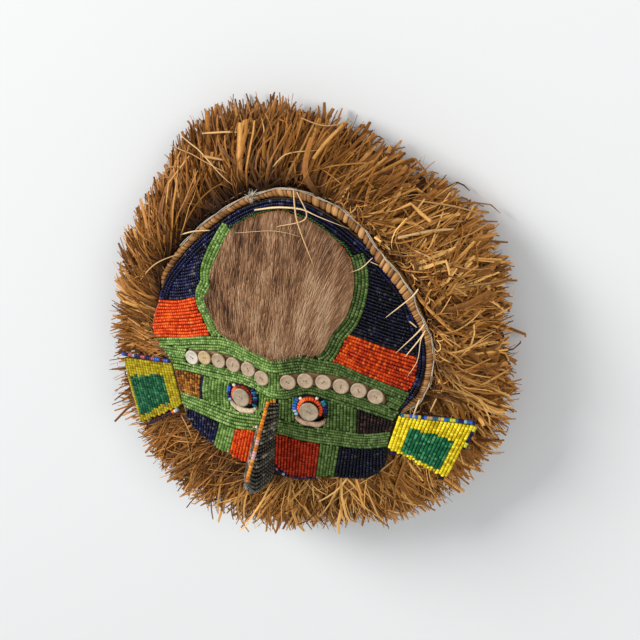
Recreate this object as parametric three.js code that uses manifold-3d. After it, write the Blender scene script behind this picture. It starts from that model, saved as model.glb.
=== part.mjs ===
// A beaded raffia mask lying on its back. Millimetres, +Z up and out of the face,
// +Y to the forehead, +X to the right as one looks at the face, and x = 0 on the fold.
import * as THREE from "three";
import { mergeVertices } from "three/addons/utils/BufferGeometryUtils.js";
import Module from "manifold-3d";

const wasm = await Module();
wasm.setup();

// Driving dimensions
const GAP = 0.35; // kept between pieces that touch
const FOLD_HEIGHT = 82; // centre fold of the face above the back rim
const SIDE_FALL = 0.128; // how far each half falls for each mm away from the fold
const BROW_FALL = 0.145; // how far the forehead falls for each mm above the brow
const PANEL_THICK = 3.2; // canvas, glue and one layer of beads
const FUR_THICK = 4.2;
const EYE_X = 25.5; // centre of each eye from the fold
const EYE_Y = -40; // centre of each eye button
const EYE_HALF_WIDTH = 11; // of the opening in the panel
const EYE_HALF_HEIGHT = 8.5;
const BUTTON_ACROSS = 11.3; // 18 line shirt button
const SMALL_BUTTON_ACROSS = 10.2;
const EYE_BUTTON_ACROSS = 13.6;
const BUTTON_THICK = 2.2;
const EYE_DISC_ACROSS = 18;
const EYE_DISC_THICK = 2.2;
const LID_RADIUS = 1.7;
const HOOP_RADIUS = 2.6;
const HOOP_RISE = 3.4; // of the hoop beside the edge of the panel over the top
const TWINE_RADIUS = 0.7;
const WALL_THICK = 5.2;
const WALL_COILS = 5;
const WALL_BULGE = 0.8; // how far each coil of the wall stands out
const EAR_THICK = 3.4;
const EAR_OUTER_HEIGHT = 58; // outer edge of each ear above the back rim
const BASKET_RADIUS = 88; // centre of the wall below the brow, where the panel overhangs it
const STATIONS = 44; // around the wall and the hoop
const FRINGE_STATIONS = 2 * STATIONS;
const ROOT_CLEARANCE = 1.5; // between the wall and the roots of the fringe
const OVERSIZE = 260; // larger than the object, for the solids that only cut

// Outline of the panel, counter-clockwise from the chin
const PANEL_OUTLINE = [
  [0, -97.5], [19, -96.5], [41, -92], [64, -90.5], [76, -86], [80.5, -77], [79.8, -62],
  [86, -36], [96.5, -18], [101.5, 0], [99.8, 19], [93.5, 36], [84, 54], [69, 69.5],
  [50, 84], [29, 97], [3, 104.5], [-26, 97.5], [-52.5, 79], [-76, 55.5], [-92, 32.5],
  [-98, 14], [-102, -6], [-96, -18], [-87, -30], [-77.8, -62], [-71, -77], [-50, -89],
  [-24, -94.5],
];

// Outline of the hide on the forehead
const FUR_OUTLINE = [
  [-10, -4], [1, -4.5], [17, 1.5], [31, 4.5], [39, 19], [47, 31], [51, 46], [51.5, 58],
  [47.5, 71], [39, 80], [25, 89.5], [-2, 97], [-22, 90.5], [-39, 79], [-47, 65],
  [-54.5, 45], [-54, 37], [-59, 26], [-53, 16], [-43, 4.5], [-28, 1],
];

// Tips of the raffia, counter-clockwise from the right
const FRINGE_OUTLINE = [
  [150, 19], [140, 74], [102, 112], [57, 137], [7, 158], [-49, 161], [-80, 149],
  [-117, 97], [-141, 48], [-147, -4], [-149, -51], [-144, -105], [-110, -147], [-61, -168],
  [-5, -168], [49, -152], [109, -127], [149, -73], [158, -30],
];

// Height of the face above the back rim at a place on it
function faceHeight(x, y) {
  return FOLD_HEIGHT - SIDE_FALL * Math.abs(x) - BROW_FALL * Math.max(0, y);
}

function radians(degrees) {
  return THREE.MathUtils.degToRad(degrees);
}

// 0 below start, 1 above end and smooth between
function ramp(value, start, end) {
  return THREE.MathUtils.smoothstep(value, start, end);
}

// Solids from closed meshes, and back
function solidOf(geometry) {
  const bare = geometry.clone();
  bare.deleteAttribute("normal");
  bare.deleteAttribute("uv");
  const merged = mergeVertices(bare, 1e-4);
  const solid = new wasm.Manifold(
    new wasm.Mesh({
      numProp: 3,
      vertProperties: merged.attributes.position.array,
      triVerts: new Uint32Array(merged.index.array),
    }),
  );
  return solid;
}

function geometryOf(solid) {
  const mesh = solid.getMesh();
  const geometry = new THREE.BufferGeometry();
  const positions = new Float32Array(mesh.numVert * 3);
  for (let i = 0; i < mesh.numVert; i++) {
    positions.set(mesh.vertProperties.subarray(i * mesh.numProp, i * mesh.numProp + 3), i * 3);
  }
  geometry.setAttribute("position", new THREE.BufferAttribute(positions, 3));
  geometry.setIndex(new THREE.BufferAttribute(mesh.triVerts, 1));
  return geometry;
}

// A closed mesh from rings of points of equal length: each ring joins the next, and the last
// ring either joins the first again or both ends are closed with a fan.
function loft(rings, joinsUp) {
  const count = rings[0].length;
  const points = rings.flat();
  const index = [];
  const spans = joinsUp ? rings.length : rings.length - 1;
  for (let i = 0; i < spans; i++) {
    for (let j = 0; j < count; j++) {
      const a = i * count + j;
      const b = i * count + ((j + 1) % count);
      const c = ((i + 1) % rings.length) * count + j;
      const d = ((i + 1) % rings.length) * count + ((j + 1) % count);
      index.push(a, b, d, a, d, c);
    }
  }
  if (!joinsUp) {
    const last = (rings.length - 1) * count;
    for (let j = 1; j < count - 1; j++) {
      index.push(0, j + 1, j, last, last + j, last + j + 1);
    }
  }
  return facingOut(meshOf(points, index));
}

function meshOf(points, index) {
  const geometry = new THREE.BufferGeometry();
  geometry.setAttribute(
    "position",
    new THREE.Float32BufferAttribute(points.flatMap((p) => [p.x, p.y, p.z]), 3),
  );
  geometry.setIndex(index);
  return geometry;
}

// The same mesh with its faces turned round where they point inwards
function facingOut(geometry) {
  const index = geometry.index.array;
  const at = geometry.attributes.position;
  const corner = [new THREE.Vector3(), new THREE.Vector3(), new THREE.Vector3()];
  let volume = 0;
  for (let i = 0; i < index.length; i += 3) {
    corner.forEach((v, k) => v.fromBufferAttribute(at, index[i + k]));
    volume += corner[0].dot(corner[1].clone().cross(corner[2]));
  }
  if (volume < 0) {
    geometry.setIndex(Array.from(index).reverse());
  }
  return geometry;
}

function closedCurve(points) {
  const corners = points.map(([x, y]) => new THREE.Vector3(x, y, 0));
  return new THREE.CatmullRomCurve3(corners, true, "centripetal");
}

// A prism far above and below the object, standing on a closed outline
function prism(points) {
  const shape = new THREE.Shape(points.map((p) => new THREE.Vector2(p.x, p.y)));
  const geometry = new THREE.ExtrudeGeometry(shape, { depth: OVERSIZE, bevelEnabled: false });
  return solidOf(geometry);
}

// A slab that follows the folded face, from one lift above it to another
function faceSlab(lowLift, highLift) {
  const lines = [-OVERSIZE, 0, OVERSIZE];
  const layer = (lift) =>
    lines.flatMap((y) => lines.map((x) => new THREE.Vector3(x, y, faceHeight(x, y) + lift)));
  const points = [...layer(lowLift), ...layer(highLift)];
  const index = [];
  const quad = (a, b, c, d) => index.push(a, b, c, a, c, d);
  for (const [i, j] of [[0, 0], [1, 0], [0, 1], [1, 1]]) {
    const a = j * 3 + i;
    quad(a, a + 3, a + 4, a + 1);
    quad(a + 9, a + 10, a + 13, a + 12);
  }
  const border = [0, 1, 2, 5, 8, 7, 6, 3];
  border.forEach((a, k) => {
    const b = border[(k + 1) % border.length];
    quad(a, b, b + 9, a + 9);
  });
  return solidOf(meshOf(points, index));
}

// A place on one half of the face, with +Z along that half's own normal
function onFace(x, y, lift) {
  const seat = new THREE.Group();
  const normal = new THREE.Vector3(Math.sign(x) * SIDE_FALL, y > 0 ? BROW_FALL : 0, 1);
  seat.position.set(x, y, faceHeight(x, y) + lift);
  seat.quaternion.setFromUnitVectors(new THREE.Vector3(0, 0, 1), normal.normalize());
  return seat;
}

function finish(color, roughness) {
  return new THREE.MeshStandardMaterial({ color, roughness, metalness: 0 });
}

const BEADWORK = finish(0x5f8f3c, 0.35);
const HIDE = finish(0x8c6e5f, 0.9);
const DARK_BEADS = finish(0x33332f, 0.35);
const YELLOW_BEADS = finish(0xd9c626, 0.35);
const SHELL = finish(0xcfc1a8, 0.45);
const ORANGE_BEADS = finish(0xd8481c, 0.35);
const CLOTH = finish(0xcbb292, 0.9);
const BASKETRY = finish(0xa67c48, 0.8);
const RAFFIA = finish(0xb98a4e, 0.8);
const TWINE = finish(0xb4aa9b, 0.9);

const mask = new THREE.Group();

function add(name, geometry, material, parent = mask) {
  const mesh = new THREE.Mesh(geometry, material);
  mesh.name = name;
  parent.add(mesh);
  return mesh;
}

// Face panel: the outline cut from the folded slab, with an opening for each eye
const panelCurve = closedCurve(PANEL_OUTLINE);

function ellipse(cx, cy, halfWidth, halfHeight, sides) {
  const points = [];
  for (let i = 0; i < sides; i++) {
    const turn = (i / sides) * 2 * Math.PI;
    const x = cx + halfWidth * Math.cos(turn);
    points.push(new THREE.Vector3(x, cy + halfHeight * Math.sin(turn), 0));
  }
  return points;
}

function facePanel() {
  let panel = prism(panelCurve.getPoints(80).slice(0, -1)).intersect(faceSlab(-PANEL_THICK, 0));
  for (const side of [-1, 1]) {
    const hole = ellipse(side * EYE_X, EYE_Y - 2, EYE_HALF_WIDTH, EYE_HALF_HEIGHT, 20);
    panel = panel.subtract(prism(hole));
  }
  return geometryOf(panel);
}

add("face_panel", facePanel(), BEADWORK);

// Hide: a low crowned pad in rings round its middle, with locks combed downwards
function furPatch() {
  const spokes = 44;
  const middle = new THREE.Vector3(0, 42, 0);
  const edge = closedCurve(FUR_OUTLINE);
  const reach = (turn) => {
    // distance to the outline in the direction of turn
    const along = new THREE.Vector2(Math.cos(turn), Math.sin(turn));
    let best = 0;
    const points = edge.getPoints(240);
    for (let i = 0; i < points.length - 1; i++) {
      const a = points[i].clone().sub(middle);
      const b = points[i + 1].clone().sub(middle);
      const sideA = along.x * a.y - along.y * a.x;
      const sideB = along.x * b.y - along.y * b.x;
      if (sideA <= 0 && sideB > 0) {
        const share = sideA / (sideA - sideB);
        const x = a.x + share * (b.x - a.x);
        const y = a.y + share * (b.y - a.y);
        best = Math.max(best, x * along.x + y * along.y);
      }
    }
    return best;
  };
  const turns = Array.from({ length: spokes }, (_, i) => Math.PI / 2 + (i / spokes) * 2 * Math.PI);
  const reaches = turns.map(reach);
  const ring = (share, lift, lock) =>
    turns.map((turn, i) => {
      const r = reaches[i] * share;
      const x = middle.x + r * Math.cos(turn);
      const y = middle.y + r * Math.sin(turn);
      const wave = lock * Math.sin(i * 2.4 + share * 5);
      return new THREE.Vector3(x, y, faceHeight(x, y) + lift + wave);
    });
  const below = -2 * FUR_THICK;
  const rings = [
    ring(0.02, below, 0),
    ring(1, below, 0),
    ring(0.99, FUR_THICK * 0.45, 0.1),
    ring(0.93, FUR_THICK * 0.85, 0.3),
    ring(0.62, FUR_THICK, 0.35),
    ring(0.3, FUR_THICK, 0.3),
    ring(0.02, FUR_THICK, 0),
  ];
  return geometryOf(solidOf(loft(rings, false)).intersect(faceSlab(GAP, 3 * FUR_THICK)));
}

add("fur_patch", furPatch(), HIDE);

// Nose: sections across the fold, with a ridge that leans to the left towards the tip
function noseSection(y) {
  const down = THREE.MathUtils.clamp((-38 - y) / 52, -0.05, 1);
  const roundedTip = ramp(-y, 88, 99);
  const ridgeX = -2.7 - 5.2 * down + 2 * roundedTip;
  const ridgeZ = FOLD_HEIGHT + 9 + 18.5 * down - 2 * roundedTip;
  const rightX = 3.6 - 1 * roundedTip;
  const leftX = -9 - 11 * down + 2 * roundedTip;
  const base = (x) => new THREE.Vector3(x, y, faceHeight(x, y) + GAP);
  const between = (from, share, x, bulge) => {
    const z = THREE.MathUtils.lerp(base(from).z, ridgeZ, share);
    return new THREE.Vector3(THREE.MathUtils.lerp(from, x, share) + bulge, y, z);
  };
  return [
    base(rightX),
    between(rightX, 0.5, ridgeX, 0.4),
    between(rightX, 0.93, ridgeX, 1),
    new THREE.Vector3(ridgeX, y, ridgeZ),
    between(leftX, 0.93, ridgeX, -1.2),
    between(leftX, 0.6, ridgeX, -2.6 * Math.max(0, down)),
    base(leftX),
    base(0),
  ];
}

add("nose", loft([-36, -45, -55, -65, -75, -84, -91, -96, -99].map(noseSection), false), DARK_BEADS);

// Ears: four-cornered flaps, a little cushioned, sewn on by their inner edge
function earFlap(innerTop, outerTop, outerBottom, innerBottom) {
  const cells = 5;
  const corner = ([x, y], z) => new THREE.Vector3(x, y, z);
  const inner = ([x, y]) => corner([x, y], faceHeight(x, y) - 0.8);
  const a = inner(innerTop);
  const b = corner(outerTop, EAR_OUTER_HEIGHT);
  const c = corner(outerBottom, EAR_OUTER_HEIGHT - 1);
  const d = inner(innerBottom);
  const place = (u, v, lift) => {
    const top = a.clone().lerp(b, u);
    const bottom = d.clone().lerp(c, u);
    const spot = top.lerp(bottom, v);
    const crown = 1.1 * Math.sin(Math.PI * u) * Math.sin(Math.PI * v);
    return spot.setZ(spot.z + crown + lift);
  };
  const border = [];
  for (let i = 0; i < cells; i++) border.push([i / cells, 0]);
  for (let i = 0; i < cells; i++) border.push([1, i / cells]);
  for (let i = 0; i < cells; i++) border.push([1 - i / cells, 1]);
  for (let i = 0; i < cells; i++) border.push([0, 1 - i / cells]);
  const ring = (share, lift) =>
    border.map(([u, v]) => place(0.5 + (u - 0.5) * share, 0.5 + (v - 0.5) * share, lift));
  const rings = [
    ring(0.02, -EAR_THICK),
    ring(0.97, -EAR_THICK),
    ring(1, -EAR_THICK / 2),
    ring(0.97, 0),
    ring(0.5, 0),
    ring(0.02, 0),
  ];
  return loft(rings, false);
}

add("ear_left", earFlap([-88.4, -30], [-133, -39], [-121, -95], [-79.2, -63]), YELLOW_BEADS);
add("ear_right", earFlap([87, -36.5], [133.5, -40], [118, -86], [80.8, -62]), YELLOW_BEADS);

// Buttons: turned discs with a low rim and two thread holes
function button(across, holeSpacing) {
  const radius = across / 2;
  const profile = [
    [0, 0], [radius - 0.6, 0], [radius, BUTTON_THICK / 2],
    [radius - 0.8, BUTTON_THICK], [radius - 1.9, BUTTON_THICK - 0.5], [0, BUTTON_THICK - 0.6],
  ];
  const turned = new THREE.LatheGeometry(profile.map(([r, z]) => new THREE.Vector2(r, z)), 13);
  turned.rotateX(Math.PI / 2);
  let body = solidOf(facingOut(mergeVertices(bareOf(turned), 1e-4)));
  for (const side of [-1, 1]) {
    const hole = new THREE.CylinderGeometry(0.8, 0.8, 3 * BUTTON_THICK, 5);
    hole.rotateX(Math.PI / 2);
    hole.translate((side * holeSpacing) / 2, 0, BUTTON_THICK / 2);
    body = body.subtract(solidOf(hole));
  }
  return geometryOf(body);
}

function bareOf(geometry) {
  geometry.deleteAttribute("normal");
  geometry.deleteAttribute("uv");
  return geometry;
}

// Each row lists x, y and the size of its buttons, from the outer end on the left
const LEFT_BROW = [
  [-67, -19.5, SMALL_BUTTON_ACROSS], [-56.2, -16.8, SMALL_BUTTON_ACROSS],
  [-44.8, -16.4, BUTTON_ACROSS], [-32.6, -16.2, BUTTON_ACROSS],
  [-20.6, -16.8, BUTTON_ACROSS], [-9.6, -20.6, BUTTON_ACROSS],
];
const RIGHT_BROW = [9.5, 21.7, 34.2, 46.5, 58.6, 70.4].map((x, i) => [
  x,
  [-19.9, -16.8, -16.2, -17.3, -18.9, -21.6][i],
  BUTTON_ACROSS,
]);

function browRow(side, row) {
  row.forEach(([x, y, across], i) => {
    const seat = onFace(x, y, GAP + 0.1);
    mask.add(seat);
    const piece = add(`brow_button_${side}_${i + 1}`, button(across, 2.6), SHELL, seat);
    piece.rotation.z = radians(-25 + 35 * i);
  });
}

browRow("left", LEFT_BROW);
browRow("right", RIGHT_BROW);

// Eyes: a bead ring on a round backing, a button on it and a rolled strip below
function eyeDisc() {
  const radius = EYE_DISC_ACROSS / 2;
  const profile = [
    [0, 0], [radius - 0.8, 0], [radius, 0.8], [radius - 0.4, EYE_DISC_THICK - 0.5],
    [radius - 1.3, EYE_DISC_THICK], [radius - 2.6, EYE_DISC_THICK - 0.6], [0, 1.3],
  ];
  const turned = new THREE.LatheGeometry(profile.map(([r, z]) => new THREE.Vector2(r, z)), 16);
  turned.rotateX(Math.PI / 2);
  return facingOut(mergeVertices(bareOf(turned), 1e-4));
}

class LidPath extends THREE.Curve {
  getPoint(share) {
    const turn = radians(205 + 130 * share);
    const x = (EYE_HALF_WIDTH + 0.6) * Math.cos(turn);
    return new THREE.Vector3(x, (EYE_HALF_HEIGHT + 0.6) * Math.sin(turn), 0);
  }
}

function eyelid() {
  const section = new THREE.Shape(
    Array.from({ length: 6 }, (_, i) => {
      const turn = (i / 6) * 2 * Math.PI;
      return new THREE.Vector2(LID_RADIUS * Math.cos(turn), LID_RADIUS * Math.sin(turn));
    }),
  );
  return new THREE.ExtrudeGeometry(section, { steps: 12, extrudePath: new LidPath() });
}

for (const [side, sign] of [["left", -1], ["right", 1]]) {
  const seat = onFace(sign * EYE_X, EYE_Y, GAP);
  mask.add(seat);
  const disc = add(`eye_disc_${side}`, eyeDisc(), ORANGE_BEADS, seat);
  disc.position.y = 2.2;
  const front = add(`eye_button_${side}`, button(EYE_BUTTON_ACROSS, 3), SHELL, seat);
  front.position.z = EYE_DISC_THICK + GAP;
  front.rotation.z = radians(-35);
  const lid = add(`eyelid_${side}`, eyelid(), CLOTH, seat);
  lid.position.set(0, -3.6, LID_RADIUS);
}

// Where the hoop and the wall run: outside the panel over the top, tucked under it below
function angleOf(point) {
  const turn = THREE.MathUtils.radToDeg(Math.atan2(point.y, point.x));
  return turn < -90 ? turn + 360 : turn;
}

// 1 over the top of the mask and 0 round the chin, for the turn of a point about the middle
function overTop(turn, inset) {
  return ramp(turn, -30 + inset, -12 + inset) * (1 - ramp(turn, 160 - inset, 178 - inset));
}

function rimPoint(share) {
  const spot = panelCurve.getPoint(share % 1);
  const along = panelCurve.getTangent(share % 1);
  const edgeNormal = new THREE.Vector3(along.y, -along.x, 0).normalize();
  const radial = spot.clone().normalize();
  const turn = angleOf(spot);
  const top = overTop(turn, 0);
  const outside = spot.clone().addScaledVector(edgeNormal, HOOP_RADIUS + GAP + 0.15);
  const centre = radial.clone().multiplyScalar(BASKET_RADIUS).lerp(outside, top);
  const out = radial.lerp(edgeNormal, top).normalize();
  const low = faceHeight(centre.x, centre.y) - PANEL_THICK - GAP - 0.1 - HOOP_RADIUS;
  centre.z = low + HOOP_RISE * overTop(turn, 14);
  return { centre, out, turn };
}

function rimStations(count) {
  return Array.from({ length: count }, (_, i) => rimPoint(i / count));
}

// Hoop: a round coil that follows the rim
function hoop() {
  const rings = rimStations(STATIONS).map(({ centre, out }) =>
    Array.from({ length: 8 }, (_, i) => {
      const turn = (i / 8) * 2 * Math.PI;
      const spot = centre.clone().addScaledVector(out, HOOP_RADIUS * Math.cos(turn));
      return spot.setZ(centre.z + HOOP_RADIUS * Math.sin(turn));
    }),
  );
  return loft(rings, true);
}

add("rim_hoop", hoop(), BASKETRY);

// Wall: stacked coils from the flat back rim up to the hoop
function basketWall() {
  const levels = WALL_COILS * 2;
  const rings = rimStations(STATIONS).map(({ centre, out }) => {
    const top = centre.z - HOOP_RADIUS - GAP;
    const side = (sign, level) => {
      const bulge = level % 2 === 1 ? WALL_BULGE : 0;
      const away = sign * (WALL_THICK / 2 + bulge);
      return centre.clone().addScaledVector(out, away).setZ((top * level) / levels);
    };
    const up = Array.from({ length: levels + 1 }, (_, level) => side(1, level));
    const down = Array.from({ length: levels + 1 }, (_, level) => side(-1, levels - level));
    return [...up, ...down];
  });
  return loft(rings, true);
}

add("basket_wall", basketWall(), BASKETRY);

// Fringe: a thick ring of raffia in tufts, from the wall out to the uneven tips
const fringeCurve = closedCurve(FRINGE_OUTLINE);

function tipReach(turn) {
  const along = new THREE.Vector2(Math.cos(turn), Math.sin(turn));
  const points = fringeCurve.getPoints(360);
  for (let i = 0; i < points.length - 1; i++) {
    const a = points[i];
    const b = points[i + 1];
    const sideA = along.x * a.y - along.y * a.x;
    const sideB = along.x * b.y - along.y * b.x;
    if (sideA <= 0 && sideB > 0 && a.x * along.x + a.y * along.y > 0) {
      const share = sideA / (sideA - sideB);
      return Math.hypot(a.x + share * (b.x - a.x), a.y + share * (b.y - a.y));
    }
  }
  return 0;
}

// 1 where an ear lies on the fringe and 0 elsewhere
function underEar(turn) {
  const left = ramp(turn, 178, 188) * (1 - ramp(turn, 226, 238));
  const right = ramp(turn, -56, -46) * (1 - ramp(turn, -13, -3));
  return left + right;
}

// Height that the raffia may reach below an ear, at a distance across from the fold
function earUnderside(x) {
  const outward = (Math.abs(x) - 84) / 36;
  const inner = faceHeight(84, 0) - EAR_THICK - 2.5;
  return THREE.MathUtils.lerp(inner, EAR_OUTER_HEIGHT - EAR_THICK - 2.5, outward);
}

// Locks and uneven tufts, between -1 and 1, for a station and a place along the strands
function tuft(station, share) {
  const lock = station % 2 === 0 ? 0.55 : -0.55;
  return lock + 0.3 * Math.sin(1.9 * station + 4 * share) + 0.15 * Math.sin(0.7 * station);
}

function raffiaFringe() {
  const rings = rimStations(FRINGE_STATIONS).map(({ centre, out, turn }, station) => {
    const inner = centre.clone().addScaledVector(out, WALL_THICK / 2 + WALL_BULGE + ROOT_CLEARANCE);
    const direction = Math.atan2(inner.y, inner.x);
    const reach = tipReach(direction) - 2 + 4.5 * tuft(station, 1);
    const tip = new THREE.Vector3(reach * Math.cos(direction), reach * Math.sin(direction), 0);
    const top = overTop(turn, 6);
    const pressed = underEar(turn);
    const sunk = THREE.MathUtils.lerp(4.4, 1.6, top);
    const rootHeight = faceHeight(inner.x, inner.y) - sunk - 1.5 * pressed;
    const tipHeight = 30 - 16 * Math.cos(radians(turn - 53));
    const crown = THREE.MathUtils.lerp(-3, 5, top) * (1 - pressed);
    const at = (share, z) => inner.clone().lerp(tip, share).setZ(z);
    const above = (share) => {
      const fall = share ** 2 * (rootHeight - tipHeight - 8);
      const swell = crown * Math.sin(Math.PI * Math.min(1, share * 1.5));
      const lock = 4 * tuft(station, share) * Math.min(1, share * 2.5) * (1 - 0.3 * share);
      const depth = THREE.MathUtils.lerp(0.6, 1, top) * (1 - 0.8 * pressed);
      const height = rootHeight - fall + swell + lock * depth;
      const ceiling = earUnderside(at(share, 0).x);
      return at(share, THREE.MathUtils.lerp(height, Math.min(height, ceiling), pressed));
    };
    const below = (share, height) => at(share, Math.max(4, height));
    return [
      at(0, 3), at(0, rootHeight), above(0.12), above(0.3), above(0.52), above(0.75), above(0.93),
      at(1, tipHeight), below(0.9, tipHeight - 14), below(0.45, 0.3 * tipHeight),
    ];
  });
  return loft(rings, true);
}

add("raffia_fringe", raffiaFringe(), RAFFIA);

// Shares of the way round the rim, counter-clockwise from the chin, and of the twine's length
const TWINE_START = 0.303;
const TWINE_END = 0.652;
const KNOT_AT = 0.77;

// Twine: laid on the outer shoulder of the hoop over the top, with a knot in it
class TwinePath extends THREE.Curve {
  getPoint(share) {
    const { centre, out } = rimPoint(THREE.MathUtils.lerp(TWINE_START, TWINE_END, share));
    const away = (HOOP_RADIUS + GAP + TWINE_RADIUS + 0.15) * Math.SQRT1_2;
    const spot = centre.clone().addScaledVector(out, away);
    return spot.setZ(centre.z + away);
  }
}

function bindingTwine() {
  const sides = 6;
  const section = new THREE.Shape(
    Array.from({ length: sides }, (_, i) => {
      const turn = (i / sides) * 2 * Math.PI;
      return new THREE.Vector2(TWINE_RADIUS * Math.cos(turn), TWINE_RADIUS * Math.sin(turn));
    }),
  );
  const path = new TwinePath();
  const cord = new THREE.ExtrudeGeometry(section, { steps: 40, extrudePath: path });
  const knot = new THREE.IcosahedronGeometry(2 * TWINE_RADIUS, 1);
  const spot = path.getPoint(KNOT_AT);
  knot.translate(spot.x, spot.y, spot.z + TWINE_RADIUS);
  return geometryOf(solidOf(cord).add(solidOf(knot)));
}

add("binding_twine", bindingTwine(), TWINE);

// The origin goes to the middle of the underside
const box = new THREE.Box3().setFromObject(mask);
const middle = box.getCenter(new THREE.Vector3());
mask.position.set(-middle.x, -middle.y, -box.min.z);

export default mask;
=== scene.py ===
import math

import bpy
import numpy as np
from mathutils import Matrix, Vector
from mathutils.geometry import delaunay_2d_cdt


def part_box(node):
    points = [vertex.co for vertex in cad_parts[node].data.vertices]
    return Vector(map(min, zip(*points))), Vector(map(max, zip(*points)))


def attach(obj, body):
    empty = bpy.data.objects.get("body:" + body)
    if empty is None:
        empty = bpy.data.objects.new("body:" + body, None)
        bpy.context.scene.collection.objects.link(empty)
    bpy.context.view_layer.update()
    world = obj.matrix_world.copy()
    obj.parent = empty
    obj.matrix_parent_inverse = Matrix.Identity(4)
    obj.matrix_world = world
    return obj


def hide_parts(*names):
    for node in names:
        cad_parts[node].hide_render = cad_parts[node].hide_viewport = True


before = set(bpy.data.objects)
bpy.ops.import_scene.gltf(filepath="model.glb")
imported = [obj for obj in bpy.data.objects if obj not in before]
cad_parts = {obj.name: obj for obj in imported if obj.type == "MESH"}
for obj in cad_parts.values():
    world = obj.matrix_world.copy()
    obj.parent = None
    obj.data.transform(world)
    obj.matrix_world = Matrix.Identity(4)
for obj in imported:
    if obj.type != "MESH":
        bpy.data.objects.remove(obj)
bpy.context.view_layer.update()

# Basket wall: the shallow coiled basket behind the face, which carries everything else.
# Bundles of grass are laid in rising coils, and palm strips wrap each one and bind it to the
# coil below. The topmost coil, the hoop, is a piece of its own.

MM = 0.001
NOSE_RIGHT, NOSE_TOP = 3.6, -36.0  # mm of the nose from the fold and from the brow line
nose_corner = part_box("nose")[1]
START = np.array([nose_corner.x - NOSE_RIGHT * MM, nose_corner.y - NOSE_TOP * MM, 0.0])
rng = np.random.default_rng(41)

FOLD_HEIGHT = 82.0
SIDE_FALL = 0.128  # of the face for each mm away from the fold
BROW_FALL = 0.145  # and for each mm above the brow line
PANEL_THICK = 3.2
HOOP_RADIUS = 2.6
HOOP_RISE = 3.4  # more height over the top, where the hoop lies outside the panel's edge
BASKET_RADIUS = 88.0
WALL_THICK = 5.2
WALL_BULGE = 0.8
COIL_REACH = WALL_THICK / 2 + WALL_BULGE  # from the wall's middle to the crowns of its coils
WALL_COILS = 5
WALL_STATIONS = 250
COIL_SIDES = 8
LAP = 2.8  # of coil from one wrap of palm to the next
LAP_SHIFT = 1.1  # between the wraps of one coil and those of the next

# Outline of the face panel, counter-clockwise from the chin, in mm from the fold and the brow
PANEL_OUTLINE = [
    (0, -97.5), (19, -96.5), (41, -92), (62, -90), (73, -84.5), (79, -75), (80.6, -61),
    (86, -36), (96.5, -18), (101.5, 0), (99.8, 19), (93.5, 36), (84, 54), (69, 69.5),
    (50, 84), (29, 97), (2, 105.5), (-26, 97.5), (-52.5, 79), (-76, 55.5), (-92, 32.5),
    (-98, 14), (-102, -6), (-96, -18), (-87, -30), (-77.8, -62), (-71, -77), (-50, -89),
    (-24, -94.5),
]


def spline(points, shares, closed=False):
    """Places on a smooth curve through the points, by the share of the points passed."""
    knots = np.asarray(points, float)
    count = len(knots)
    if closed:
        padded = np.vstack([knots[-1:], knots, knots[:2]])
        spans = count
        passed = (np.asarray(shares, float) % 1.0) * spans
    else:
        padded = np.vstack([2 * knots[0] - knots[1], knots, 2 * knots[-1] - knots[-2]])
        spans = count - 1
        passed = np.asarray(shares, float) * spans
    start = np.clip(np.floor(passed).astype(int), 0, spans - 1)
    w = (passed - start)[:, None]
    before, near, far, after = (padded[start + k] for k in range(4))

    def root(a, b):
        return np.maximum(np.sqrt(np.linalg.norm(b - a, axis=1)), 1e-4)[:, None]

    d0, d1, d2 = root(before, near), root(near, far), root(far, after)
    leave = ((near - before) / d0 - (far - before) / (d0 + d1) + (far - near) / d1) * d1
    reach = ((far - near) / d1 - (after - near) / (d1 + d2) + (after - far) / d2) * d1
    square = -3 * near + 3 * far - 2 * leave - reach
    return near + leave * w + square * w**2 + (2 * near - 2 * far + leave + reach) * w**3


def unit(vectors):
    return vectors / np.maximum(np.linalg.norm(vectors, axis=-1, keepdims=True), 1e-9)


def pointing(angles):
    """Directions in the plane, one for each angle."""
    return np.stack([np.cos(angles), np.sin(angles)], -1)


def left_of(ways):
    """Directions in the plane, turned a quarter to the left."""
    return np.stack([-ways[:, 1], ways[:, 0]], 1)


def ramp(value, start, end):
    """0 before start, 1 after end and smooth between."""
    t = np.clip((value - start) / (end - start), 0, 1)
    return t * t * (3 - 2 * t)


def lerp(a, b, share):
    return a + (b - a) * share


def turned(spots):
    """Turn of each spot about the middle, from -90 below, by the right, to 270 degrees."""
    turn = np.degrees(np.arctan2(spots[..., 1], spots[..., 0]))
    return np.where(turn < -90, turn + 360, turn)


def face_height(x, y):
    return FOLD_HEIGHT - SIDE_FALL * np.abs(x) - BROW_FALL * np.maximum(0, y)


def over_top(turn, inset):
    """1 over the top of the mask and 0 round the chin; inset makes the top shorter, in degrees."""
    rise = ramp(turn, -30 + inset, -12 + inset)
    return rise * (1 - ramp(turn, 160 - inset, 178 - inset))


def rim(shares):
    """Centre line of the hoop, the way out from it and the turn about the middle."""
    spot = spline(PANEL_OUTLINE, shares, closed=True)
    ahead = spline(PANEL_OUTLINE, np.asarray(shares) + 1e-4, closed=True)
    behind = spline(PANEL_OUTLINE, np.asarray(shares) - 1e-4, closed=True)
    along = unit(ahead - behind)
    edge = -left_of(along)
    radial = unit(spot)
    turn = turned(spot)
    top = over_top(turn, 0)[:, None]
    centre = lerp(radial * BASKET_RADIUS, spot + edge * (HOOP_RADIUS + 0.5), top)
    out = unit(lerp(radial, edge, top))
    low = face_height(centre[:, 0], centre[:, 1]) - PANEL_THICK - HOOP_RADIUS - 0.45
    height = low + HOOP_RISE * over_top(turn, 14)
    return np.column_stack([centre, height]), np.column_stack([out, 0 * height]), turn


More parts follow.
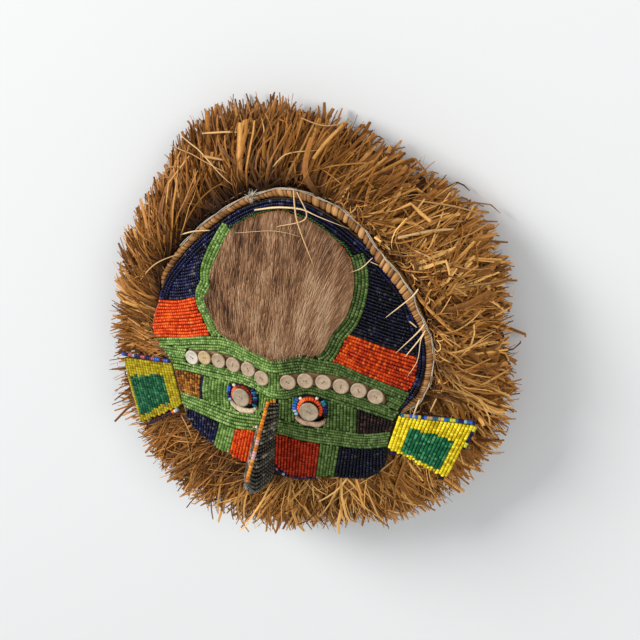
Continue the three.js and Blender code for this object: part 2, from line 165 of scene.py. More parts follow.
def travelled(points):
    """Length along a line up to each of its points."""
    steps = np.linalg.norm(np.diff(points, axis=0), axis=1)
    return np.concatenate([[0.0], np.cumsum(steps)])


def along_line(points, gone, steps):
    """Places on a line at given lengths along it."""
    return np.column_stack([np.interp(steps, gone, column) for column in points.T])


def build(name, points, faces, finish, replaces=(), marks=None, smooth=True):
    """One piece, from points in mm, arrays of faces, and values marked on its points."""
    mesh = bpy.data.meshes.new(name)
    corners = np.concatenate([np.ravel(group) for group in faces]).astype(np.int32)
    sizes = np.concatenate([np.full(len(group), group.shape[1]) for group in faces])
    starts = np.concatenate([[0], np.cumsum(sizes)[:-1]]).astype(np.int32)
    mesh.vertices.add(len(points))
    mesh.vertices.foreach_set("co", (points * MM + START).astype(np.float32).ravel())
    mesh.loops.add(len(corners))
    mesh.loops.foreach_set("vertex_index", corners)
    mesh.polygons.add(len(sizes))
    mesh.polygons.foreach_set("loop_start", starts)
    mesh.polygons.foreach_set("use_smooth", np.full(len(sizes), smooth))
    for mark, values in (marks or {}).items():
        attribute = mesh.attributes.new(mark, "FLOAT", "POINT")
        attribute.data.foreach_set("value", np.asarray(values, np.float32).ravel())
    mesh.update(calc_edges=True)
    mesh.validate()
    mesh.materials.append(finish.material)
    made = bpy.data.objects.new(name, mesh)
    bpy.context.scene.collection.objects.link(made)
    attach(made, "root")
    if replaces:
        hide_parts(*replaces)


def skin(rows, around, closed_rows, closed_around=True, first=0):
    """Faces between rows of points, as one array of four-cornered faces."""
    row_pairs = rows if closed_rows else rows - 1
    column_pairs = around if closed_around else around - 1
    i, j = np.meshgrid(np.arange(row_pairs), np.arange(column_pairs), indexing="ij")
    i, j = i.ravel(), j.ravel()
    i2, j2 = (i + 1) % rows, (j + 1) % around
    quads = np.stack([i * around + j, i2 * around + j, i2 * around + j2, i * around + j2], 1)
    return quads + first


def end_faces(rows, around):
    """The faces that close the first and the last row of a skin."""
    turn = np.arange(around)
    return np.array([turn, turn[::-1] + (rows - 1) * around])


class Value:
    """A socket of a finish, so that shader maths is written as sums."""

    def __init__(self, finish, socket):
        self.finish, self.socket = finish, socket

    def math(self, operation, first, second):
        return self.finish.node("Math", {"operation": operation}, {0: first, 1: second})

    def __add__(self, other):
        return self.math("ADD", self, other)

    def __sub__(self, other):
        return self.math("SUBTRACT", self, other)

    def __rsub__(self, other):
        return self.math("SUBTRACT", other, self)

    def __mul__(self, other):
        return self.math("MULTIPLY", self, other)

    def __pow__(self, other):
        return self.math("POWER", self, other)

    def __rpow__(self, other):
        return self.math("POWER", other, self)

    __radd__ = __add__
    __rmul__ = __mul__


class Finish:
    """The finish of one kind of surface: a material and the nodes that feed it."""

    def __init__(self, name, plain):
        self.material = bpy.data.materials.new(name)
        self.material.use_nodes = True
        self.tree = self.material.node_tree
        self.shader = self.tree.nodes["Principled BSDF"]
        for socket, value in plain.items():
            self.shader.inputs[socket].default_value = value

    def feed(self, socket, value):
        if isinstance(value, Value):
            self.tree.links.new(value.socket, socket)
        else:
            socket.default_value = value

    def node(self, kind, settings, sockets, output=0):
        made = self.tree.nodes.new("ShaderNode" + kind)
        for key, value in settings.items():
            setattr(made, key, value)
        for key, value in sockets.items():
            self.feed(made.inputs[key], value)
        return Value(self, made.outputs[output])

    def mark(self, name):
        """A value marked on the points of the mesh."""
        return self.node("Attribute", {"attribute_name": name}, {}, "Fac")

    def place(self, axis):
        """How far along one axis a point lies, in metres."""
        place = self.node("TexCoord", {}, {}, "Object")
        return self.node("SeparateXYZ", {}, {0: place}, axis)

    def noise(self, scale, detail=2.0, stretch=(1, 1, 1), roughness=0.5):
        """Cloudy values, with scale in patches to the metre."""
        place = self.node("TexCoord", {}, {}, "Object")
        place = self.node("Mapping", {}, {"Vector": place, "Scale": stretch})
        sockets = {"Vector": place, "Scale": scale, "Detail": detail, "Roughness": roughness}
        return self.node("TexNoise", {}, sockets)

    def ramp(self, value, stops, between="LINEAR"):
        """Colours picked by a value from a band, given as places along it and colours."""
        picked = self.node("ValToRGB", {}, {0: value}, "Color")
        band = picked.socket.node.color_ramp
        band.interpolation = between
        band.elements.remove(band.elements[1])
        band.elements[0].position, band.elements[0].color = stops[0]
        for place, colour in stops[1:]:
            band.elements.new(place).color = colour
        return picked

    def mix(self, share, first, second, blend="MIX"):
        settings = {"data_type": "RGBA", "blend_type": blend}
        return self.node("Mix", settings, {0: share, 6: first, 7: second}, 2)

    def colour(self, value):
        self.feed(self.shader.inputs["Base Color"], value)

    def rough(self, value):
        self.feed(self.shader.inputs["Roughness"], value)

    def bump(self, height, strength, depth):
        sockets = {"Height": height, "Strength": strength, "Distance": depth * MM}
        self.feed(self.shader.inputs["Normal"], self.node("Bump", {}, sockets))


def dye(red, green, blue):
    """A colour as the eye reads it, 0 to 255, for a shader."""

    def linear(part):
        part /= 255
        return part / 12.92 if part <= 0.04045 else ((part + 0.055) / 1.055) ** 2.4

    return (linear(red), linear(green), linear(blue), 1.0)


def coiled_wall():
    finish = Finish("coiled_basketry", {"Roughness": 0.75, "Specular IOR Level": 0.3})
    wave = finish.node("Math", {"operation": "SINE"}, {0: finish.mark("lap") * (math.tau / LAP)})
    fibre = finish.noise(900, 3)
    tone = finish.mark("pick") * 0.55 + fibre * 0.45
    dark = dye(58, 38, 20)
    palm = [(0.15, dark), (0.5, dye(120, 84, 46)), (0.85, dye(162, 122, 76))]
    groove = (wave * 0.5 + 0.5) ** 0.35
    # The grooves between wraps are darkened towards the darkest palm colour: painted shade.
    finish.colour(finish.mix(groove, dark, finish.ramp(tone, palm)))
    finish.bump(groove + fibre * 0.3, 0.8, 0.7)

    shares = np.linspace(0, 1, WALL_STATIONS, endpoint=False)
    centre, out, _ = rim(shares)
    top = centre[:, 2] - HOOP_RADIUS - 0.35
    turns = np.arange(COIL_SIDES) / COIL_SIDES * math.tau
    points, laps, picks, faces = [], [], [], []
    lap = travelled(centre)
    size = WALL_STATIONS * COIL_SIDES
    for coil in range(WALL_COILS):
        level = top * (coil + 0.5) / WALL_COILS
        half_height = top / WALL_COILS / 2 * 1.02
        across = COIL_REACH * np.cos(turns)
        ring = centre[:, None, :] + out[:, None, :] * across[None, :, None]
        rise = half_height[:, None] * np.sin(turns)[None, :]
        ring[:, :, 2] = np.maximum(level[:, None] + rise, 0)
        points.append(ring.reshape(-1, 3))
        laps.append(np.repeat(lap + LAP_SHIFT * coil, COIL_SIDES))
        tone = 0.5 + 0.35 * np.sin(lap * 0.13 + coil * 2.1) * np.sin(lap * 0.41 + coil)
        picks.append(np.repeat(tone, COIL_SIDES))
        faces.append(skin(WALL_STATIONS, COIL_SIDES, True, first=coil * size))
    build(
        "coiled_wall", np.vstack(points), faces, finish, ["basket_wall"],
        {"lap": np.concatenate(laps), "pick": np.concatenate(picks)},
    )


coiled_wall()


# Rim hoop: the last coil, which closes the basket along the edge of the face.
# Pale raffia is whipped round it turn beside turn, a little slanted and uneven. It is fatter
# at the upper right, where the bundle inside was joined.

WRAP_WIDTH = 3.3
WRAP_PLACES = np.array([0.0, 0.2, 0.36, 0.5, 0.64, 0.8])  # across a wrap, from its edge
WRAP_DIPS = [1.0, 0.2, 0.26, 0.0, 0.26, 0.2]  # how deep each place lies, against the edge
WRAP_LIGHT = [0.0, 0.9, 0.75, 1.0, 0.75, 0.9]  # how much of the straw's colour it keeps
WRAP_DEPTH = 0.27  # of the groove between two wraps, as a share of the radius
HOOP_SIDES = 12
WRAP_SLANT = 0.9
JOIN_SWELL = 1.6  # more radius where the bundle is joined
TUCK_LIFT = 0.75  # how much the hoop rises for each mm that it is pulled in


def fatter(turn):
    return JOIN_SWELL * np.interp(turn, [-30, 5, 20, 34, 66, 105], [0, 0.2, 0.4, 1, 1, 0])


def tucked(turn):
    """How far the hoop is pulled in over the edge of the face."""
    turns = [-25, 0, 14, 22, 28, 34, 46, 52, 58, 66, 78, 95]
    return np.interp(turn, turns, [0, 0.8, 1.0, 3.2, 4.4, 5.0, 4.6, 2.8, 0.8, -0.8, 0, 0])


def hoop_line(shares):
    """Middle of the hoop, the way out, the turn, and how much fatter it is."""
    centre, out, turn = rim(shares)
    extra, over = fatter(turn), tucked(turn)
    centre = centre + out * (extra - over)[:, None]
    centre[:, 2] += TUCK_LIFT * np.maximum(0, over)
    return centre, out, turn, extra


def whipped_hoop():
    finish = Finish("raffia_whipping", {"Roughness": 0.7, "Specular IOR Level": 0.25})
    fibre = finish.noise(1500, 3, (1, 1, 1), 0.65)
    tone = finish.mark("pick") * 0.7 + fibre * 0.3
    straw = [(0.15, dye(86, 52, 22)), (0.5, dye(164, 112, 60)), (0.82, dye(212, 158, 96))]
    # Each wrap darkens towards near-black at its edges: painted shade in the grooves between
    # wraps.
    light = finish.mark("light") * 0.9 + 0.1
    finish.colour(finish.mix(light, dye(44, 27, 14), finish.ramp(tone, straw)))
    finish.bump(fibre, 0.5, 0.4)

    first = np.linspace(0, 1, 1800)
    path, _, turn, _ = hoop_line(first)
    coarse = np.interp(turn, [-40, -10, 20, 38, 76, 95], [1, 0.6, 0.6, 1.4, 1.4, 1.15])
    counted = np.cumsum(np.append(0, np.diff(travelled(path))) / (WRAP_WIDTH * coarse))
    wraps = int(counted[-1])
    loose = rng.uniform(-0.34, 0.34, wraps - 1)
    edges = (np.arange(wraps + 1) + np.concatenate([[0], loose, [0]])) / wraps * counted[-1]
    wound = (edges[:-1, None] + np.diff(edges)[:, None] * WRAP_PLACES[None, :]).ravel()
    centre, out, turn, extra = hoop_line(np.interp(wound, counted, first))
    rows = len(WRAP_PLACES)
    dip = np.tile(WRAP_DIPS, wraps) * (WRAP_DEPTH + 0.15 * ramp(turn, 18, 40) * extra)
    bulge = (1 - dip) * np.repeat(rng.uniform(0.93, 1.07, wraps), rows)
    wide = (HOOP_RADIUS + extra) * bulge
    angle = np.arange(HOOP_SIDES) / HOOP_SIDES * math.tau
    ring = centre[:, None, :] + out[:, None, :] * (np.cos(angle) * wide[:, None])[..., None]
    ring[:, :, 2] += (HOOP_RADIUS + 0.3 * extra)[:, None] * bulge[:, None] * np.sin(angle)
    along = unit(np.roll(centre, -1, 0) - np.roll(centre, 1, 0))
    ring += along[:, None, :] * (WRAP_SLANT * np.cos(angle))[None, :, None]
    # Painted shade darkens the wraps at the lower right; those from the top round the left are
    # darker as well.
    shady = ramp(turn, -60, -20) * (1 - ramp(turn, 18, 36))
    dull = 0.1 * shady + 0.25 * ramp(turn, 80, 110)
    picks = np.repeat(rng.uniform(0.3, 0.9, wraps), rows)
    picks = np.repeat((picks + rng.uniform(-0.22, 0.22, len(turn))) * (1 - dull), HOOP_SIDES)
    light = np.repeat(np.tile(WRAP_LIGHT, wraps), HOOP_SIDES)
    build(
        "whipped_hoop", ring.reshape(-1, 3), [skin(len(centre), HOOP_SIDES, True)], finish,
        ["rim_hoop"], {"pick": picks, "light": light},
    )


whipped_hoop()


# Raffia fringe: thousands of strips of palm leaf, looped through the wall in tufts, cut ragged.
# They fan out from the hoop, all lean the same way round, droop towards their tips, and are
# creased and crossed. A dense mass of the same strips closes the gaps deep inside, coloured
# dark brown as painted shade.

# Tips of the raffia, counter-clockwise from the right, in mm
FRINGE_OUTLINE = [
    (150, 19), (140, 74), (102, 112), (57, 137), (7, 158), (-49, 161), (-80, 149),
    (-117, 97), (-141, 48), (-147, -4), (-149, -51), (-144, -105), (-110, -147), (-61, -168),
    (-5, -168), (49, -152), (109, -127), (149, -73), (158, -30),
]
# Degrees that the strips lean from straight out, by the turn about the middle
LEAN_TURNS = (-90, -60, -15, 20, 60, 100, 135, 165, 185, 225, 270)
LEANS = (-22, -30, -30, -22, -30, -14, -14, -32, -14, -8, -22)
EAR_THICK = 3.4
EAR_OUTER_HEIGHT = 58.0
EAR_CLEARANCE = 2.8  # between an ear's back and the strips that it presses down
ROOT_OUT = COIL_REACH + 0.4  # from the wall's middle to the roots of the strips
TIP_HEIGHT, TIP_SWING = 30, 16  # mean height of the tips, and how much it changes round the mask
LOWEST_TIPS = 53  # the turn at which they lie lowest
UNDER_FACE = 6.5  # below the crowns of the beads, for strips that run in under the face
STRIP_LENGTHS = (12, 95)  # shortest and longest
STRIP_PLACES = 8
STRIP_SIDES = 4
STRIP_SHARES = np.linspace(0, 1, STRIP_PLACES)  # how far along a strip its places are
TUFT_SIZE = 7  # strips in a tuft

all_round = np.linspace(0, 1, 720, endpoint=False)


def reach_to(line):
    """A function that gives how far out a line round the middle is, in a spot's direction."""
    angles, reaches = np.arctan2(line[:, 1], line[:, 0]), np.linalg.norm(line, axis=1)

    def reach(spots):
        angle = np.arctan2(spots[..., 1], spots[..., 0])
        return np.interp(angle, angles, reaches, period=math.tau)

    return reach


tip_reach = reach_to(
    spline(FRINGE_OUTLINE, np.linspace(0, 1, 1440, endpoint=False), closed=True)
)


def under_ear(spots):
    """1 where an ear lies on the fringe and 0 elsewhere."""
    turn = turned(spots)
    left = ramp(turn, 176, 188) * (1 - ramp(turn, 226, 240))
    right = ramp(turn, -58, -46) * (1 - ramp(turn, -13, -3))
    return (left + right) * (1 - ramp(np.abs(spots[..., 0]), 134, 144))


def ear_underside(x):
    """Height of the strips that an ear presses down, by the distance across."""
    seam, reach = 84, 36
    height = lerp(face_height(seam, 0), EAR_OUTER_HEIGHT, (np.abs(x) - seam) / reach)
    return height - EAR_THICK - EAR_CLEARANCE


def covered(spots):
    """Distance from the middle out to which the hoop and the face hide the fringe."""
    centre, _, turn, extra = hoop_line(all_round)
    hoop = np.linalg.norm(centre[:, :2], axis=1) + HOOP_RADIUS + extra
    face = np.linalg.norm(spline(PANEL_OUTLINE, all_round, closed=True), axis=1) + 0.8
    return np.interp(turned(spots), turn, np.maximum(hoop, face), period=360)


def fringe_depth(roots, root_turn, spots, share):
    """Lowest and highest height of the fringe at spots a share of the way to the tips."""
    top = over_top(root_turn, 6)[:, None]
    root_height = face_height(roots[:, :1], roots[:, 1:2]) - lerp(4.4, 1.6, top)
    tip_height = TIP_HEIGHT - TIP_SWING * np.cos(np.radians(turned(spots) - LOWEST_TIPS))
    crown = lerp(-3, 5, top)
    share = np.clip(share, 0, 1.05)
    high = root_height - share**2 * (root_height - tip_height - 8)
    high = high + crown * np.sin(math.pi * np.minimum(1, share * 1.5))
    pressed = under_ear(spots)
    high = lerp(high, np.minimum(high - 1.5, ear_underside(spots[..., 0])), pressed)
    low = np.maximum(2.5, share * (tip_height - 14))
    return low, high, pressed


def tubes(count, rows, around):
    """Faces of closed tubes that each have rows of points round them."""
    first = (np.arange(count) * rows * around)[:, None]
    body = (skin(rows, around, False)[None] + first[:, :, None]).reshape(-1, 4)
    start, end = end_faces(rows, around)
    return [body, start + first, end + first]


def strips(paths, widths, thickness, roll, sides):
    """Points and faces of closed strips: paths is strips by places by 3."""
    count, places, _ = paths.shape
    widths, roll = (np.broadcast_to(part, (count, places)) for part in (widths, roll))
    along = unit(np.gradient(paths, axis=1))
    side = unit(np.cross(along, np.array([0.02, 0.01, 1.0])))
    up = np.cross(side, along)
    across = side * np.cos(roll)[..., None] + up * np.sin(roll)[..., None]
    thick = np.cross(across, along)
    angle = np.arange(sides) / sides * math.tau
    wide = np.cos(angle)[None, None, :] * widths[..., None]
    deep = np.sin(angle)[None, None, :] * (widths * thickness)[..., None]
    points = paths[:, :, None, :] + across[:, :, None, :] * wide[..., None]
    points = points + thick[:, :, None, :] * deep[..., None]
    return points.reshape(-1, 3), tubes(count, places, sides)


def raffia_finish(name, shade, shaded, dark, middle, light):
    """Dry palm leaf, with painted shade from its root up to a share of its length."""
    finish = Finish(name, {"Roughness": 0.6, "Specular IOR Level": 0.2})
    fibre = finish.noise(520, 3, (1, 1, 1), 0.6)
    tone = finish.mark("pick") * 0.78 + fibre * 0.22
    straw = finish.ramp(tone, [(0.2, dark), (0.46, middle), (0.76, light)])
    roots = finish.ramp(finish.mark("along"), [(0.0, shade), (shaded, (1, 1, 1, 1))])
    finish.colour(finish.mix(1.0, straw, roots, "MULTIPLY"))
    finish.bump(fibre, 0.4, 0.3)
    return finish


def heads_out(roots, out, turn, extra):
    """Directions that strips take from their roots, and how far the tips are along them."""
    lean = np.interp(turn, LEAN_TURNS, LEANS) + extra
    angle = np.arctan2(out[:, 1], out[:, 0]) + np.radians(lean)
    way = pointing(angle)
    far = tip_reach(roots) - np.linalg.norm(roots, axis=1)
    for _ in range(5):
        tip = roots + way * far[:, None]
        over = np.linalg.norm(tip, axis=1) - tip_reach(tip)
        far = far - over / np.maximum(0.4, (unit(tip) * way).sum(1))
    return angle, np.clip(far, *STRIP_LENGTHS)


def strip_courses(roots, out, turn, lean, end, bend, wild):
    """Flat courses of strips from their roots: each is an arc, and some have a crease."""
    n = len(roots)
    angle, far = heads_out(roots, out, turn, lean)
    crease = np.radians(rng.normal(0, 30, n) * (rng.uniform(0, 1, n) < 0.4)) * wild
    crease_at = rng.uniform(0.25, 0.85, n)
    arc = np.radians(rng.normal(0, bend, n)) * wild
    heading = angle[:, None] + arc[:, None] * (2 * STRIP_SHARES - 0.8)
    heading = heading + crease[:, None] * (STRIP_SHARES > crease_at[:, None])
    heading = heading + np.radians(rng.normal(0, 3, (n, STRIP_PLACES)))
    step = (far * end / (STRIP_PLACES - 1))[:, None]
    moves = pointing(heading) * step[..., None]
    moves[:, 0] = 0
    return roots[:, None, :] + np.cumsum(moves, axis=1)


def lain_down(spots, roots, turn, level, tuft_lift, lift):
    """Paths of strips, from their flat courses and their level in the depth of the fringe."""
    n = len(spots)
    begin = np.linalg.norm(roots, axis=1)[:, None]
    share = (np.linalg.norm(spots, axis=2) - begin) / (tip_reach(spots) - begin)
    low, high, pressed = fringe_depth(roots, turn, spots, share)
    rise = (tuft_lift + rng.normal(0, lift, n))[:, None] * (1 - pressed)
    rise = rise * np.sin(math.pi * 0.6 * STRIP_SHARES)
    curl = rng.normal(0, 1.2, n)[:, None] * np.maximum(0, STRIP_SHARES - 0.6)
    rise = rise + curl * (1 - pressed)
    height = lerp(low, high, level[:, None]) + rise
    tucked_in = ramp(covered(spots) - np.linalg.norm(spots, axis=2), -1.2, 1.2)
    beneath = face_height(spots[..., 0], spots[..., 1]) - UNDER_FACE
    height = np.maximum(lerp(height, np.minimum(height, beneath), tucked_in), 2.0)
    return np.concatenate([spots, height[:, :, None]], 2)


def straw_picks(tuft_picks, turn):
    """Place of every point of the strips in their band of colours, streaky along a strip."""
    n = len(turn)
    pick = np.clip(0.4 * tuft_picks + rng.uniform(0, 0.6, n), 0, 1)
    # Darker from the top round the left, and at the right beside the hoop, where it is painted
    # shade.
    dull = ramp(turn, 45, 90) * (1 - 0.3 * ramp(turn, 115, 150))
    dull = dull + 0.3 * ramp(-turn, 105, 150) + 0.4 * ramp(-turn, 155, 175)
    dull = dull + 0.4 * ramp(turn, -25, 0) * (1 - ramp(turn, 20, 50))
    pick = np.clip(pick * (1 - 0.46 * dull), 0, 1)
    streaks = pick[:, None, None] + rng.uniform(-0.13, 0.13, (n, 1, STRIP_SIDES))
    return streaks + 0.2 * (STRIP_SHARES[:, None] - 0.6)


def raffia_strips(name, count, levels, ends, half_width, finish, bend=9, crossing=9, lift=1.5,
                  turns=None):
    """Tufts of strips at levels of the fringe's depth, from 0 below to 1 on top.

    Ends are how far out they reach. Bend and crossing are in degrees, and turns are the
    shares of the way round between which the tufts lie.
    """
    tufts = count // TUFT_SIZE
    tuft_share = (np.arange(tufts) + rng.uniform(0, 1, tufts)) / tufts
    rng.shuffle(tuft_share)
    if turns:
        tuft_share = rng.uniform(turns[0], turns[1], tufts)
    owner = np.repeat(np.arange(tufts), TUFT_SIZE)
    n = len(owner)
    tuft_lean, tuft_lift = rng.normal(0, crossing, tufts), rng.normal(0, lift, tufts)
    tuft_end, tuft_level = rng.uniform(*ends, tufts), rng.uniform(*levels, tufts)
    tuft_pick = rng.uniform(0, 1, tufts)
    centre, out, turn = rim(tuft_share[owner] + rng.normal(0, 0.0035, n))
    out = out[:, :2]
    roots = centre[:, :2] + out * ROOT_OUT
    low_down = 1 - over_top(turn, 0)
    wild = 1 - 0.2 * low_down + 0.5 * ramp(turn, -20, 0) * (1 - ramp(turn, 50, 75))
    stray = (rng.uniform(0, 1, n) < 0.12) * (1 - 0.5 * low_down)
    lean = (tuft_lean[owner] + rng.normal(0, crossing * 0.7, n)) * wild
    lean = lean + stray * rng.normal(0, 34, n)
    end = np.clip(tuft_end[owner] + rng.normal(0, 0.05, n), 0.15, 1.0)
    spots = strip_courses(roots, out, turn, lean, end, bend, wild)
    cut = rng.uniform(0.93, 1.01, tufts)[owner] + rng.uniform(-0.02, 0.03, n)
    cut = tip_reach(spots) * cut[:, None]
    spots = spots * np.minimum(1, cut / np.linalg.norm(spots, axis=2))[..., None]
    level = np.clip(tuft_level[owner] + rng.normal(0, 0.04, n), 0, 1)
    paths = lain_down(spots, roots, turn, level, tuft_lift[owner], lift)
    widest = 2.3 - 0.7 * low_down
    half = half_width * np.minimum(rng.lognormal(0, 0.45, n), widest) * (1 - 0.1 * low_down)
    taper = np.interp(STRIP_SHARES, [0, 0.2, 0.85, 1], [0.7, 1, 0.95, 0.7])
    roll = rng.uniform(-0.8, 0.8, n)[:, None] + rng.normal(0, 1.3, n)[:, None] * STRIP_SHARES
    points, faces = strips(paths, half[:, None] * taper, 0.22, roll, STRIP_SIDES)
    marks = {
        "pick": straw_picks(tuft_pick[owner], turn),
        "along": np.repeat(np.tile(STRIP_SHARES, n), STRIP_SIDES),
    }
    build(name, points, faces, finish, (), marks, smooth=False)


def raffia_mass():
    """The dense inside of the fringe, dark brown as painted shade."""
    finish = Finish("raffia_mass", {"Roughness": 0.9, "Specular IOR Level": 0.15})
    fibre = finish.noise(500, 4, (1, 1, 1), 0.7)
    finish.colour(finish.ramp(fibre, [(0.35, dye(30, 17, 7)), (0.7, dye(86, 52, 24))]))
    finish.bump(fibre, 1.0, 2.0)
    stations = 240
    centre, out, turn = rim(np.arange(stations) / stations)
    roots = centre[:, :2] + out[:, :2] * ROOT_OUT
    begin = np.linalg.norm(roots, axis=1)
    room = tip_reach(roots) - begin
    bunches = 0.78 + 0.05 * np.sin(np.arange(stations) * 0.9)
    rows = []
    for along, depth in ((0, 0.02), (0, 0.8), (0.3, 0.8), (0.6, 0.74), (0.85, 0.62),
                         (1, 0.45), (0.85, 0.25), (0.45, 0.1)):
        share = (along * bunches)[:, None]
        spot = roots + unit(roots) * (room[:, None] * share)
        low, high, _ = fringe_depth(roots, turn, spot[:, None, :], share)
        rows.append(np.column_stack([spot, lerp(low, high, depth)[:, 0]]))
    ring = np.stack(rows, 1)
    faces = [skin(stations, len(rows), True)[:, ::-1]]
    build("raffia_mass", ring.reshape(-1, 3), faces, finish, ["raffia_fringe"])


# The strips below the top layer take a darker copy of the straw: painted shade deep in the fringe.
deep_raffia = raffia_finish("raffia_in_shade", dye(92, 68, 44), 0.8, dye(86, 50, 18),
                            dye(154, 98, 38), dye(216, 156, 80))
raffia = raffia_finish("raffia_strips", dye(74, 52, 34), 0.52, dye(84, 48, 15),
                       dye(164, 106, 41), dye(234, 182, 104))
raffia_mass()
raffia_strips("raffia_below", 900, (0.0, 0.5), (0.85, 1.0), 0.9, deep_raffia)
raffia_strips("raffia_middle", 2200, (0.45, 0.9), (0.85, 1.0), 0.8, deep_raffia, 11, 12, 2.2)
raffia_strips("raffia_top", 2200, (0.84, 1.0), (0.45, 1.0), 0.86, raffia, 15, 19, 3.6)
raffia_strips("raffia_loose", 1500, (0.93, 1.0), (0.3, 1.0), 0.42, raffia, 26, 26, 3.0)
raffia_strips("raffia_curls_top", 520, (0.97, 1.0), (0.15, 0.4), 0.42, raffia, 80, 42, 2.5,
              (0.25, 0.52))
raffia_strips("raffia_curls_chin", 420, (0.9, 1.0), (0.25, 0.75), 0.5, raffia, 26, 24, 2.0,
              (-0.12, 0.16))


# Face panel: a stiff canvas cut to the outline of the face and folded down the middle.
# Rows of seed beads cover it later; it shows tan in the lane under the buttons and at its
# edge, and elsewhere it is near-black, as painted shade between the beads. The two eye
# openings are cut through it.

EYE_X = 25.5
EYE_OPENING = (11.0, 8.5)  # half width and half height
EYE_OPENING_Y = -42.0
CANVAS_TOP = -1.5  # below the crowns of the beads
CANVAS_GRID = 2.5  # between the points inside it
LANE_HALF = 5.0
LANE_ENDS = (-72, 75.5)  # across, where rows of beads close it
BRIDGE_X = -1.3  # middle of the bridge, where the two lanes meet

# Buttons above the eyes: across, up and size, from the left of each row
LEFT_BROW = [
    (-67, -19.5, 10.9), (-56.2, -16.8, 10.6), (-44.8, -16.4, 11.3), (-32.6, -16.2, 11.3),
    (-20.6, -16.8, 11.3), (-9.6, -20.6, 11.3),
]
RIGHT_BROW = [
    (9.5, -19.9, 11.3), (21.7, -16.8, 11.3), (34.2, -16.2, 11.3), (46.5, -17.3, 11.3),
    (58.6, -18.9, 11.3), (70.4, -21.6, 11.3),
]

outline = spline(PANEL_OUTLINE, np.linspace(0, 1, 420, endpoint=False), closed=True)


def inset(line, by):
    """A closed counter-clockwise line moved inwards."""
    return line + by * left_of(unit(np.roll(line, -1, 0) - np.roll(line, 1, 0)))


def inside(line, spots):
    """Whether each spot lies inside a closed line."""
    x, y = spots[:, 0][:, None], spots[:, 1][:, None]
    x1, y1 = line[:, 0][None, :], line[:, 1][None, :]
    x2, y2 = np.roll(line[:, 0], -1)[None, :], np.roll(line[:, 1], -1)[None, :]
    crosses = (y1 > y) != (y2 > y)
    at = x1 + (y - y1) * (x2 - x1) / np.where(y2 == y1, 1e-9, y2 - y1)
    return (crosses & (x < at)).sum(1) % 2 == 1


def edge_depth(spots):
    """Distance of spots from the edge of the panel."""
    return np.sqrt(((spots[:, None, :] - outline[None, :, :]) ** 2).sum(2).min(1))


def ellipse(cx, cy, half_width, half_height, count):
    turns = np.arange(count) / count * math.tau
    return (cx, cy) + pointing(turns) * (half_width, half_height)


def graph(points):
    """Height up the face of a smooth line, at any distance across it."""
    line = spline(points, np.linspace(0, 1, 240))
    return lambda x: np.interp(x, line[:, 0], line[:, 1])


lane_left = graph([(-96, -23), (-80, -21.5), *[spot[:2] for spot in LEFT_BROW],
                   (BRIDGE_X, -23)])
lane_right = graph([(BRIDGE_X, -23), *[spot[:2] for spot in RIGHT_BROW], (82, -25.2), (98, -31)])


def lane(x):
    """Middle of the lane that the buttons lie in."""
    return np.where(x < BRIDGE_X, lane_left(x), lane_right(x))


def triangulated(loops, extra):
    """Corners and triangles of a flat shape: the first loop is its edge, the others holes."""
    edges, first = [], 0
    for loop in loops:
        count = len(loop)
        edges += [(first + i, first + (i + 1) % count) for i in range(count)]
        first += count
    spots = [Vector(p) for p in np.vstack([*loops, extra])]
    verts, _, faces, _, _, _ = delaunay_2d_cdt(spots, edges, [], 0, 1e-5)
    verts = np.array([(v.x, v.y) for v in verts])
    faces = np.array([face for face in faces if len(face) == 3])
    middles = verts[faces].mean(1)
    keep = inside(loops[0], middles)
    for hole in loops[1:]:
        keep &= ~inside(hole, middles)
    return verts, faces[keep]


def border_of(faces):
    """Edges that only one face uses, each in that face's direction."""
    pairs = {(f[k], f[(k + 1) % len(f)]) for f in faces.tolist() for k in range(len(f))}
    return np.array(sorted(pair for pair in pairs if (pair[1], pair[0]) not in pairs))


def slab(faces, count):
    """Faces of a sheet with two sides of count points each, from those of its upper side."""
    border = border_of(faces)
    wall = np.stack([border[:, 1], border[:, 0], border[:, 0] + count, border[:, 1] + count], 1)
    return [faces, faces[:, ::-1] + count, wall]


